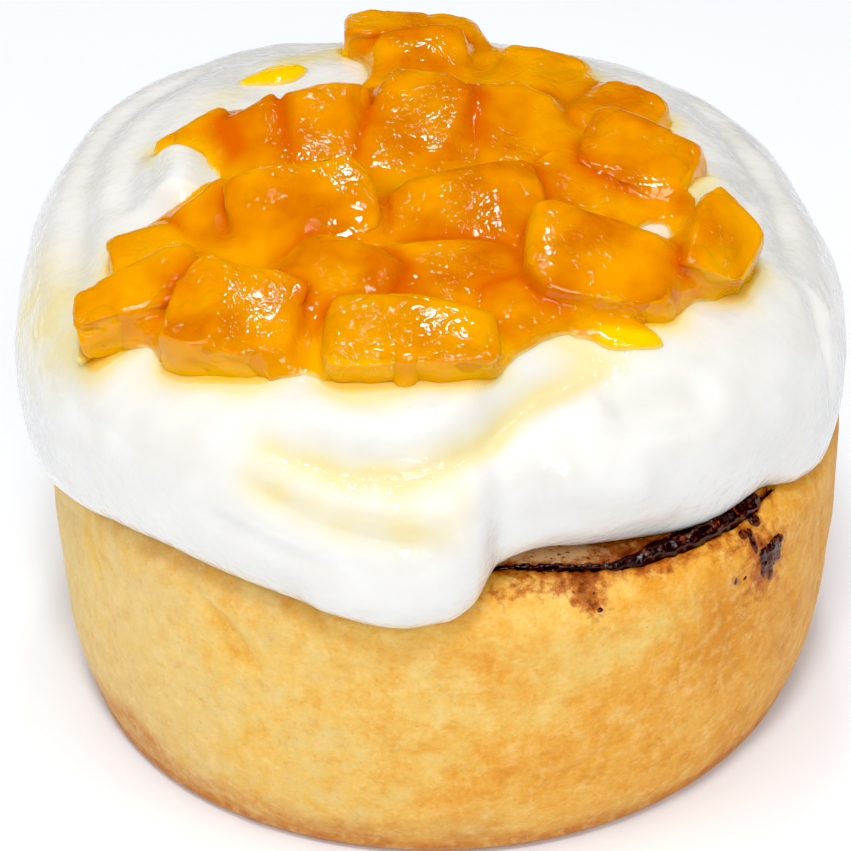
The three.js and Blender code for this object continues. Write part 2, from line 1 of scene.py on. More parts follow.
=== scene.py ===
"""A round cinnamon bun under a thick cap of whipped cream, with diced fruit in clear glaze on top.

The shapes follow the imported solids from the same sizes, in millimetres, far more finely, and turn to metres
only when a mesh is made.  +Z is up and the origin is the middle of the bun's flat underside.  A bearing is an
angle about +Z in degrees: 0 is the front (-Y), 90 the right (+X).
"""
import math

import bpy
import numpy as np
from mathutils import Euler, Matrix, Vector


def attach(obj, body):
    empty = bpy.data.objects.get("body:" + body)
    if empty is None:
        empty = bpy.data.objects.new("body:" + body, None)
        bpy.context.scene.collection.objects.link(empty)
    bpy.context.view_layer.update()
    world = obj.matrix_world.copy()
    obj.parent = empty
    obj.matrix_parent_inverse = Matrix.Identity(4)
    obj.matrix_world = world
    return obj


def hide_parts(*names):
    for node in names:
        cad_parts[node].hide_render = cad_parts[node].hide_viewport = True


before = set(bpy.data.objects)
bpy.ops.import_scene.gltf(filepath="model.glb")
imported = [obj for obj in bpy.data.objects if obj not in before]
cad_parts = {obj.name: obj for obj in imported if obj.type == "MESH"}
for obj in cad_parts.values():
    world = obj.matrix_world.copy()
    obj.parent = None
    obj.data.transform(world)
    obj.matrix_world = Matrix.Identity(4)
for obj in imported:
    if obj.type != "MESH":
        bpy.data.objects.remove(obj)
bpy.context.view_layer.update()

MM = 0.001  # metres

# ---------------------------------------------------------------- sizes of the bun

CLEARANCE = 0.3  # between two pieces that touch
WALL_RADIUS = 50.2
FOOT_RADIUS = 44
FOOT_EDGE = 1.6
WALL_CLIMB = 30
WALL_FULLNESS = 0.39
RIM_HEIGHT = 41.5
SHOULDER = 6.2
WALL_TOP = RIM_HEIGHT - SHOULDER
CROWN_HEIGHT = 42.1
CROWN_RADIUS = 31  # inside it the top rises to the crown
# where the wall swells: bearing, spread, swell, height above which it no longer does
BELLIES = [(-50, 34, 1.5, 32), (88, 30, 1.0, 48)]
# wrinkles baked into the wall, along points of bearing and height: path, depth, width
WALL_CREASES = [
    ([(-40, 37.6), (-34, 35.4), (-28.5, 31.7), (-24.5, 26.5)], 0.55, 1.1),
    ([(-33, 33), (-29, 29.5), (-26, 29)], 0.35, 0.9),
    ([(-63, 37), (-59, 31), (-55.5, 25)], 0.4, 1.3),
    ([(-75, 29), (-66, 32.5), (-60, 35)], 0.3, 1.0),
    ([(34.6, 37.5), (36.2, 33), (37.4, 27)], -0.5, 1.5),
    ([(30, 38.5), (33, 34), (36, 26)], 0.3, 1.2),
    ([(40, 36), (42.5, 28), (48, 18)], 0.45, 1.8),
    ([(14, 12), (24, 17), (33, 21)], 0.28, 1.2),
    ([(54, 30), (60, 22), (63, 12)], 0.35, 1.5),
    ([(68, 34), (71, 24), (74, 14)], 0.35, 1.6),
    ([(96, 30), (112, 26), (128, 29)], 0.4, 1.5),
    ([(140, 16), (158, 20), (171, 17)], 0.4, 1.6),
    ([(-168, 30), (-150, 27), (-138, 31)], 0.4, 1.5),
    ([(-124, 14), (-108, 18), (-97, 15)], 0.35, 1.6),
]

# ---------------------------------------------------------------- sizes of the coil of filling

TAIL_BEARING = 58
TAIL_RADIUS = 46.6
COIL_PITCH = 10.8
COIL_TURNS = 3.2
COIL_DIP = (29, 9, 3.2)  # bearings between which the outer turn thickens, and by how much
COIL_DRAFT = 0.86
RIBBON_THICKNESS = 1.4
RIBBON_FOOT = 0.4
GROOVE_DEPTH = 2.3
GROOVE_TOP = 45.5  # height at which the groove's straight sides are measured
GROOVE_FLARE = 1.4
OPEN_GROOVE = (4, 66)  # bearings where the cream leaves the coil bare
GROOVE_EASE = 0.16
BEAD_HALF_WIDTH = 1.3
BEAD_RISE = 0.8
# width of the bead as a share of its full width, along the bare stretch
BEAD_SWELL = [(4, 0.3), (14, 0.32), (22, 0.36), (27, 0.5), (32, 0.78), (38, 1.0), (46, 1.15), (51, 1.05),
              (54, 0.5), (57, 0.2), (66, 0.15)]
# filling that boiled over and set on the wall: bearing, height, half width, half drop, how proud
SPILLS = [
    (51.9, 35.0, 1.8, 2.0, 0.8),
    (53.0, 36.0, 1.3, 1.2, 0.7),
    (50.3, 33.8, 0.8, 1.8, 0.6),
    (51.8, 32.6, 0.5, 1.6, 0.5),
    (49.9, 35.6, 0.9, 1.3, 0.5),
    (53.6, 34.2, 0.5, 1.2, 0.5),
    (48.3, 38.3, 0.6, 1.6, 0.4),
    (50.4, 39.7, 0.9, 0.8, 0.4),
    (47.0, 39.3, 0.6, 0.7, 0.4),
    (43.9, 34.9, 0.3, 0.6, 0.16),
    (45.9, 34.2, 0.45, 0.3, 0.16),
    (42.9, 38.6, 0.35, 0.6, 0.16),
    (21.4, 38.3, 0.4, 0.3, 0.12),
]

# ---------------------------------------------------------------- sizes of the cream

CREAM_TOP = 66.8
LIP_POWER = 2
FOLD_EASE = 0.25
# the cap all round: bearing, widest radius and its height, how square its shoulder is, then its lip
CREAM_ROUND = np.array([
    (-180, 52.4, 46, 3.9, 49, 36), (-150, 54.4, 47, 4.6, 49, 38), (-128, 55.0, 47, 5.0, 49, 35),
    (-108, 53.9, 46, 4.2, 49, 33.5), (-90, 53.6, 45, 3.4, 49, 32.5), (-73, 53.8, 45, 3.0, 49, 33.5),
    (-60, 53.4, 46, 3.0, 49, 37), (-50, 52.6, 47, 3.0, 48, 39.2), (-38, 52.0, 47.5, 3.0, 47.5, 40.3),
    (-27, 52.2, 47.5, 3.0, 47.5, 40), (-15, 52.8, 46.5, 3.0, 48, 39.3), (-6, 53.2, 45.5, 3.0, 48.5, 38.7),
    (0, 52.9, 46, 3.0, 48.5, 39.2), (3.5, 51.6, 46.8, 3.0, 46, 39.7), (8, 47.6, 49.5, 3.0, 37.5, 40.3),
    (18, 46.6, 50.3, 3.0, 35.4, 40.5), (30, 47.4, 50.3, 3.0, 37.6, 40.5), (42, 48.2, 49.8, 3.0, 40.4, 40.5),
    (54, 48.8, 49, 3.0, 42.6, 40.3), (62, 50.3, 46, 3.0, 47.5, 39), (72, 50.8, 45, 3.0, 49, 37.5),
    (100, 50.3, 45, 3.2, 48.6, 38.5), (125, 51.2, 46, 3.6, 48.8, 36.5), (150, 52.4, 46, 3.9, 49, 37.5),
])
# folds pressed into the cap, along points of bearing and distance down the cap from its middle:
# path, depth, width; a depth under 0 is a ridge
CREAM_FOLDS = [
    ([(-34, 47.6), (-20, 48.8), (-6, 48.9), (4, 45), (14, 39), (26, 36.8), (40, 37)], 2.1, 3.5),
    ([(-32, 52), (-18, 55.4), (-7, 57), (5, 57)], 1.3, 3.0),
    ([(24, 42), (35, 43.9), (46, 47)], 1.2, 3.2),
    ([(78, 47), (69, 55), (67, 63)], 1.3, 2.4),
    ([(-64, 46), (-90, 45.8), (-118, 47.5), (-146, 46)], 1.1, 2.6),
    ([(74, 42.5), (99, 42.5), (116, 42.5), (140, 45)], 1.2, 2.6),
    ([(165, 44), (190, 46), (214, 45)], 1.1, 2.8),
    ([(-30, 43.6), (-12, 43.8), (0, 41.5), (10, 35.5)], -1.1, 3.2),
    ([(14, 49), (22, 51), (32, 53.5)], -1.0, 3.4),
    ([(-20, 66), (-8, 67), (0, 66)], -0.9, 4.2),
    ([(-109, 34.6), (-101, 33.2), (-94, 32.6), (-84, 32.4)], -3.2, 4.0),
    ([(84, 27.5), (92, 31), (98, 35)], -3.0, 3.6),
]
# strokes of the spoon, finer than the solids carry them
SPOON_STROKES = [
    ([(-84, 38.5), (-104, 40), (-126, 43)], 0.5, 2.0),
    ([(-100, 55), (-126, 57.5), (-150, 56)], 0.4, 2.0),
    ([(80, 52), (100, 51.5), (126, 54)], 0.4, 1.8),
    ([(78, 37), (96, 38), (112, 39.5)], 0.5, 1.5),
    ([(104, 59), (130, 60), (152, 59)], 0.4, 2.0),
    ([(160, 52), (184, 53), (206, 52)], 0.4, 2.0),
    ([(-34, 58), (-22, 60.5), (-12, 61.5)], 0.45, 1.2),
    ([(-106, 37.4), (-99, 36.2), (-92, 34.8)], 0.6, 0.8),
    ([(72, 50), (78, 56), (80, 61)], 0.3, 1.6),
    ([(20, 44.5), (30, 46.3), (44, 49.5)], 0.35, 1.1),
    ([(-24, 45.5), (-10, 46.6), (0, 44.5)], 0.4, 1.2),
    ([(-34, 47.6), (-20, 48.8), (-6, 48.9), (4, 45), (14, 39), (26, 36.8), (38, 37)], 0.2, 1.3),
    ([(-32, 52), (-18, 55.4), (-7, 57), (5, 57)], 0.15, 1.2),
]

# ---------------------------------------------------------------- sizes of the fruit

# middle, size across (width, depth, height), turn about +Z, lean towards the front, roll towards the right,
# how much the right end narrows
FRUIT = [
    ((-2.4, 30.4, 65.6), (14, 14, 7.5), 6, 22, -4, 0.1),
    ((18.4, -18.6, 66.4), (21, 13.5, 10.5), -8, 16, 8, 0.16),
    ((-15.8, -7.8, 66.9), (18, 14.5, 10.5), 10, 26, -8, -0.06),
    ((-3.6, -31.4, 65.6), (19, 11.5, 9), -3, 16, 3, 0.06),
    ((-36.2, -21.2, 64.1), (17.5, 8.5, 7.5), 21, 10, -8, -0.12),
    ((32.4, -13.2, 66.2), (10, 12.8, 9), -18, 16, 18, 0.26),
    ((2.0, -7.2, 65.9), (20.5, 15, 10), 9, 18, -6, -0.12),
    ((24.6, 5.4, 65.8), (16, 13.5, 10.5), -26, 12, 4, 0.08),
    ((-14.2, 11.4, 66.3), (12, 17, 11), 6, 26, -4, 0),
    ((-24.3, -26.2, 65.0), (15.6, 14.8, 9.6), -14, 16, 6, 0.08),
    ((12.6, 27.8, 64.5), (14, 14, 6.5), -8, 4, 6, 0.14),
    ((21.9, 19.3, 64.5), (10.6, 12.2, 7.6), -32, 6, 6, 0.1),
    ((9.2, 12.6, 65.5), (13.5, 18.5, 9), 18, 14, 4, 0.06),
    ((16.0, -2.4, 64.9), (14, 12, 8.5), -20, 14, 6, 0.16),
    ((0.6, -20.0, 64.4), (17.5, 15, 10.5), 3, 16, 4, 0.06),
    ((-3.0, 11.4, 65.8), (14.5, 20.5, 10), -10, 16, 2, 0.04),
    ((-23.0, 10.6, 65.1), (9.5, 15, 9.5), 16, 18, -6, -0.08),
    ((-30.2, 9.8, 64.4), (12, 10, 7.5), 20, 10, -12, -0.14),
    ((-12.8, -21.6, 65.0), (16, 14, 9), -24, 14, -4, 0.08),
    ((-4.6, 39.4, 65.2), (19, 8.5, 7.5), 3, -4, 4, 0.06),
    ((-35.0, -11.6, 63.4), (10.5, 9.5, 6.5), 14, 6, -8, 0),
    ((8.0, -23.8, 64.4), (7.8, 7.8, 7), 30, 8, 0, 0),
    ((-27.6, -5.6, 65.1), (9.5, 9, 7.5), 30, 14, -12, -0.2),
]
FRUIT_POWER = 5
FRUIT_SKEW = 0.13
FRUIT_LUMP = 0.04
LUMP_WAVES = (2.3, 2.1, 2.6, 1.9)
LUMP_PHASES = (1.7, 2.9)
HASH = (12.9898, 78.233, 37.719, 43758.5453)
KNIFE_POWER = 6  # edges a little crisper than the solids carry them
KNIFE_CUTS = 7  # flat facets that the knife left on each chunk
# how ripe, and so how yellow, a chunk is, and those that are riper than the rest, as numbered from 1
RIPENESS = 0.12
YELLOWER = {4: 0.6, 5: 0.35, 6: 0.5, 10: 0.25, 11: 0.4, 18: 0.75, 20: 0.35, 21: 1.0}
# where white cream shows between the chunks and no gel ran: x, y, reach
DRY_SPOTS = [(-31.5, 4, 5.5), (33, 0.5, 5.5), (-13.4, -36.5, 5.5)]
# syrup that pooled on the cream: bearing, distance down the cap, half length, half width, thickness, turn
PUDDLES = [
    (36, 32.4, 6.4, 2.7, 1.1, -15),
    (28, 28.0, 3.4, 2.0, 0.8, 5),
    (-144.4, 36.6, 4.8, 2.6, 1.1, 14),
]

# ---------------------------------------------------------------- how finely the skins are meshed

BUN_SIDES = 480
CREAM_SIDES = 560
CHUNK_SQUARES = 34
SPILL_SQUARES = 26
GLAZE_STEP = 0.5
# how far each skin starts inside its solid, so that its relief stays within the solid's size
CRUST_INSET = 0.25
CREAM_INSET = 0.36
CHUNK_INSET = 0.66

# ---------------------------------------------------------------- small helpers


def lerp(a, b, t):
    return a + (b - a) * t


def smooth(t):
    t = np.clip(t, 0, 1)
    return t * t * (3 - 2 * t)


def bell(x):
    return np.exp(-np.square(x))


def wrap(degrees):
    return (np.asarray(degrees, float) + 180) % 360 - 180


def eased_span(t, share):
    """1 along a span, easing to 0 over a share of it at each end."""
    return smooth(t / share) * smooth((1 - t) / share)


def around_axis(radius, bearing, z):
    angle = np.radians(bearing)
    return np.stack(np.broadcast_arrays(radius * np.sin(angle), -radius * np.cos(angle), z), axis=-1)


def bearing_of(points):
    return np.degrees(np.arctan2(points[..., 0], -points[..., 1]))


def hermite(y0, y1, rise0, rise1, t):
    return (y0 * (1 + 2 * t) + rise0 * t) * (1 - t) ** 2 + (y1 * (3 - 2 * t) - rise1 * (1 - t)) * t * t


def through(path, x):
    """A smooth curve through a few (x, y) points, read at x."""
    xs, ys = np.array(sorted(path), float).T
    slope = np.empty_like(ys)
    slope[1:-1] = (ys[2:] - ys[:-2]) / (xs[2:] - xs[:-2])
    slope[[0, -1]] = (ys[1] - ys[0]) / (xs[1] - xs[0]), (ys[-1] - ys[-2]) / (xs[-1] - xs[-2])
    k = np.clip(np.searchsorted(xs, x, side="right") - 1, 0, len(xs) - 2)
    run = xs[k + 1] - xs[k]
    t = np.clip((x - xs[k]) / run, 0, 1)
    return hermite(ys[k], ys[k + 1], slope[k] * run, slope[k + 1] * run, t)


def all_round(column):
    """A closed curve through a column of CREAM_ROUND, with no overshoot."""
    bearings, values = CREAM_ROUND[:, 0], CREAM_ROUND[:, column]
    gap = (np.roll(bearings, -1) - bearings) % 360
    rate = (np.roll(values, -1) - values) / gap
    before, gap_before = np.roll(rate, 1), np.roll(gap, 1)
    slope = np.zeros_like(rate)
    same = before * rate > 0
    slope[same] = (3 * (gap_before + gap))[same] / (
        (2 * gap + gap_before)[same] / before[same] + (gap + 2 * gap_before)[same] / rate[same]
    )

    def read(bearing):
        x = wrap(bearing)
        k = np.clip(np.searchsorted(bearings, x, side="right") - 1, 0, len(bearings) - 1)
        after = (k + 1) % len(bearings)
        t = (x - bearings[k]) / gap[k]
        return hermite(values[k], values[after], slope[k] * gap[k], slope[after] * gap[k], t)

    return read


def scrambled(cells, seed):
    """A whole number from 0 to 2**31 for each cell of a lattice, the same on every run."""
    x, y, z = (cells[..., axis].astype(np.uint32) for axis in range(3))
    mix = x * np.uint32(374761393) + y * np.uint32(668265263) + z * np.uint32(2246822519)
    mix = mix + np.uint32(seed * 3266489917 & 0xFFFFFFFF)
    mix = (mix ^ (mix >> np.uint32(15))) * np.uint32(2246822519)
    mix = (mix ^ (mix >> np.uint32(13))) * np.uint32(3266489917)
    return mix ^ (mix >> np.uint32(16))


def unevenness(points, size, seed):
    """Smooth lumps of about the given size in mm, from about -1 to 1; three sizes stretch them."""
    p = np.asarray(points, float) / np.asarray(size, float)
    cell = np.floor(p).astype(np.int64)
    inner = p - cell
    ease = inner**3 * (inner * (inner * 6 - 15) + 10)
    total = 0
    for corner in range(8):
        step = np.array([corner & 1, corner >> 1 & 1, corner >> 2 & 1])
        mix = scrambled(cell + step, seed)
        pull = 0
        for axis, shift in enumerate((0, 10, 20)):
            lean = (mix >> np.uint32(shift) & np.uint32(1023)).astype(float) / 511.5 - 1
            pull = pull + lean * (inner[..., axis] - step[axis])
        total = total + pull * np.prod(np.where(step, ease, 1 - ease), axis=-1)
    return total * 1.6


def layered(points, size, seed, layers=3):
    """Unevenness with finer, fainter layers on top."""
    return sum(unevenness(points, np.asarray(size, float) / 2**k, seed + k) / 1.7**k for k in range(layers))


def grid_normals(rings):
    """Outward normals of a body of rings (rows from the foot to the head, sides by rising bearing)."""
    along = np.roll(rings, -1, axis=1) - np.roll(rings, 1, axis=1)
    up = np.gradient(rings, axis=0)
    normal = np.cross(along, up)
    return normal / np.maximum(np.linalg.norm(normal, axis=-1, keepdims=True), 1e-9)


def ring_faces(rows, sides):
    """Faces of a body of rings; the foot's pole and the head's are its last two points."""
    index = np.arange(rows * sides).reshape(rows, sides)
    after = np.roll(index, -1, axis=1)
    faces = np.stack([index[:-1], after[:-1], after[1:], index[1:]], axis=-1).reshape(-1, 4).tolist()
    foot, head = rows * sides, rows * sides + 1
    faces += [[foot, b, a] for a, b in zip(index[0].tolist(), after[0].tolist())]
    faces += [[head, a, b] for a, b in zip(index[-1].tolist(), after[-1].tolist())]
    return faces


def mesh_piece(name, points, faces, masks=None):
    """A shaded-smooth piece from points in mm; masks are numbers held at each point for its material."""
    mesh = bpy.data.meshes.new(name)
    mesh.from_pydata((np.asarray(points) * MM).tolist(), [], faces)
    for mask, values in (masks or {}).items():
        layer = mesh.attributes.new(mask, "FLOAT", "POINT")
        layer.data.foreach_set("value", np.asarray(values, np.float32).ravel())
    mesh.shade_smooth()
    piece = bpy.data.objects.new(name, mesh)
    bpy.context.scene.collection.objects.link(piece)
    return piece


def skin_around(field, low, step):
    """The closed skin where a field on a grid of points passes through 0, with its inside below 0."""
    inside = field < 0
    size = np.array(field.shape) - 1
    corners = [np.array([n >> 2 & 1, n >> 1 & 1, n & 1]) for n in range(8)]

    def seen_from(corner, values):
        return values[tuple(slice(c, c + n) for c, n in zip(corner, size))]

    count = sum(seen_from(c, inside).astype(np.int8) for c in corners)
    mixed = (count > 0) & (count < 8)
    cells = np.argwhere(mixed)
    values = np.stack([seen_from(c, field)[mixed] for c in corners], axis=1)
    total, hits = np.zeros((len(cells), 3)), np.zeros(len(cells))
    for a in range(8):
        for b in range(a + 1, 8):
            if np.abs(corners[a] - corners[b]).sum() != 1:
                continue
            cut = (values[:, a] < 0) != (values[:, b] < 0)
            share = values[cut, a] / (values[cut, a] - values[cut, b])
            total[cut] += corners[a] + (corners[b] - corners[a]) * share[:, None]
            hits[cut] += 1
    points = low + (cells + total / hits[:, None]) * step
    number = np.full(size, -1)
    number[mixed] = np.arange(len(cells))
    faces = []
    for axis in range(3):
        across, over = (axis + 1) % 3, (axis + 2) % 3

        def part(values, **cut):
            return values[tuple(cut.get(key, slice(None)) for key in ("x", "y", "z"))]

        key = ("x", "y", "z")
        middle = {key[across]: slice(1, -1), key[over]: slice(1, -1)}
        here = part(inside, **middle, **{key[axis]: slice(0, -1)})
        beyond = part(inside, **middle, **{key[axis]: slice(1, None)})
        low_half, high_half = slice(0, -1), slice(1, None)
        ring = [(low_half, low_half), (high_half, low_half), (high_half, high_half), (low_half, high_half)]
        quads = np.stack([part(number, **{key[across]: p, key[over]: q}) for p, q in ring], axis=-1)
        faces += quads[here & ~beyond].tolist() + quads[beyond & ~here][:, ::-1].tolist()
    return points, faces


# ---------------------------------------------------------------- bun


def wall_radius(z):
    climb = np.sin((np.pi / 2) * np.clip(np.asarray(z, float) / WALL_CLIMB, 0, 1))
    return lerp(FOOT_RADIUS, WALL_RADIUS, climb**WALL_FULLNESS)


def swelling(bearing, z):
    """How far the wall swells out of round."""
    out = 0
    for middle, spread, swell, height in BELLIES:
        out = out + swell * bell(wrap(bearing - middle) / spread) * (1 - smooth(z / height))
    return out


def bun_radius(bearing, z):
    """Radius of the bun's outside at a height; under 0 above its rim."""
    over = np.clip((z - WALL_TOP) / SHOULDER, 0, 1)
    round_top = WALL_RADIUS - SHOULDER * (1 - np.sqrt(1 - over**2))
    radius = np.where(z < WALL_TOP, wall_radius(z), round_top)
    return np.where(z > RIM_HEIGHT + CLEARANCE, -1, radius + swelling(bearing, z))


def coil_radius(turned):
    """Radius of the coil's middle line, a number of degrees in from its tail."""
    start, end, depth = COIL_DIP
    dip = smooth((start - (TAIL_BEARING - turned)) / (start - end))
    return TAIL_RADIUS - COIL_PITCH * turned / 360 - depth * dip


def groove_openness(turned):
    """How open the groove is, a number of degrees in from the coil's tail."""
    t = (TAIL_BEARING - turned - OPEN_GROOVE[0]) / (OPEN_GROOVE[1] - OPEN_GROOVE[0])
    return np.where((t > 0) & (t < 1), eased_span(t, GROOVE_EASE), 0)


def off_coil(bearing, radius, draft):
    """Distance across from the nearest turn of the coil, and how open the groove is there."""
    best, openness = np.full(np.broadcast(bearing, radius).shape, 99.0), 0
    for lap in range(math.ceil(COIL_TURNS) + 1):
        turned = (TAIL_BEARING - bearing) % 360 + 360 * lap
        away = radius - coil_radius(turned) * draft
        away = np.where(turned <= COIL_TURNS * 360, away, 99.0)
        nearer = np.abs(away) < np.abs(best)
        openness = np.where(nearer, groove_openness(turned), openness)
        best = np.where(nearer, away, best)
    return best, openness


def bun_profile():
    """[radius, height] rows from the middle of the underside, out, up and back to the middle."""
    flat = FOOT_RADIUS - FOOT_EDGE
    edge = wall_radius(FOOT_EDGE)
    rows = [(radius, 0) for radius in np.linspace(0, flat, 59)[1:]]
    for turn in np.linspace(0, np.pi / 2, 6)[1:-1]:
        rows.append((lerp(flat, edge, np.sin(turn)), FOOT_EDGE * (1 - np.cos(turn))))
    rows += [(float(wall_radius(z)), z) for z in np.linspace(FOOT_EDGE, WALL_TOP, 58)]
    for turn in np.linspace(0, np.pi / 2, 24)[1:]:
        rows.append((WALL_RADIUS - SHOULDER * (1 - np.cos(turn)), WALL_TOP + SHOULDER * np.sin(turn)))
    rim = WALL_RADIUS - SHOULDER
    rows += [(radius, RIM_HEIGHT) for radius in np.linspace(rim, CROWN_RADIUS, 38)[1:]]
    for share in np.linspace(0, 1, 13)[1:-1]:
        rows.append((lerp(CROWN_RADIUS, 0, share), lerp(RIM_HEIGHT, CROWN_HEIGHT, smooth(share))))
    return np.array(rows)


def folds_at(folds, bearing, along):
    """How far a list of folds presses a skin in, at a bearing and a distance along it."""
    depth = np.zeros(np.broadcast(bearing, along).shape)
    for path, deep, width in folds:
        first, last = path[0][0], path[-1][0]
        middle = (first + last) / 2
        turned = middle + wrap(bearing - middle)
        t = (turned - first) / (last - first)
        away = (along - through(path, turned)) / width
        depth = depth + np.where((t > 0) & (t < 1), deep * bell(away) * eased_span(t, FOLD_EASE), 0)
    return depth


def patches_at(patches, bearing, along):
    """Soft spots, each (bearing, distance along, half width in degrees, half height, strength), added up."""
    return sum(
        strength * bell(np.hypot(wrap(bearing - b) / half_width, (along - z) / half_height))
        for b, z, half_width, half_height, strength in patches
    )


# tints of the crust, by bearing and height
GOLDEN_PATCHES = [
    (-31, 33.5, 2.6, 5.0, 0.16), (-27, 29, 2.2, 4.5, 0.14), (-60, 34, 5, 7, 0.2), (-15, 37, 9, 2.5, 0.1),
    (42, 27, 8, 10, 0.38), (28, 26, 6, 6, 0.16), (16, 17, 10, 6, 0.22), (3, 14, 7, 5, 0.16),
    (34, 10, 9, 5, 0.15), (58, 22, 8, 9, 0.14), (-8, 24, 6, 6, 0.14), (6, 33, 12, 5, 0.1),
    (120, 24, 22, 9, 0.2), (170, 28, 20, 8, 0.22), (-140, 20, 24, 9, 0.2), (-98, 30, 12, 8, 0.12),
]
PALE_PATCHES = [
    (-50, 24, 13, 11, 0.2), (-40, 14, 9, 7, 0.1), (20, 31, 7, 3.5, 0.3), (29, 33.5, 6, 3, 0.28),
    (12, 24, 6, 3, 0.18), (-14, 20, 5, 4, 0.2), (-70, 20, 10, 12, 0.14), (66, 26, 7, 12, 0.1),
    (38, 17, 4, 8, 0.22), (150, 12, 20, 6, 0.15), (-115, 18, 18, 8, 0.15),
]
CINNAMON_STAINS = [
    (19.6, 40.0, 2.6, 1.5, 1.0), (21, 38.6, 1.8, 1.6, 0.75), (20, 41.0, 6, 0.9, 0.8),
    (10, 40.9, 5, 0.7, 0.7), (51.6, 34.4, 2.8, 3.2, 0.9), (49, 38.4, 2.2, 2.4, 0.8),
    (43.5, 38.8, 3.5, 0.9, 0.7), (44.4, 35, 1.2, 1, 0.6), (32, 40.2, 6, 0.7, 0.5),
    (52, 33, 4.8, 5.0, 0.5), (46, 32, 4, 5, 0.3), (49.5, 36, 2.4, 3.5, 0.4),
]
# where the wall is painted a dull tan: painted shade low on the left foot, and darker just under the cream's
# lip
TAN_PATCHES = [(-52, 9, 20, 8, 0.16), (-40, 37, 18, 4, 0.1), (-6, 35, 16, 3, 0.08)]


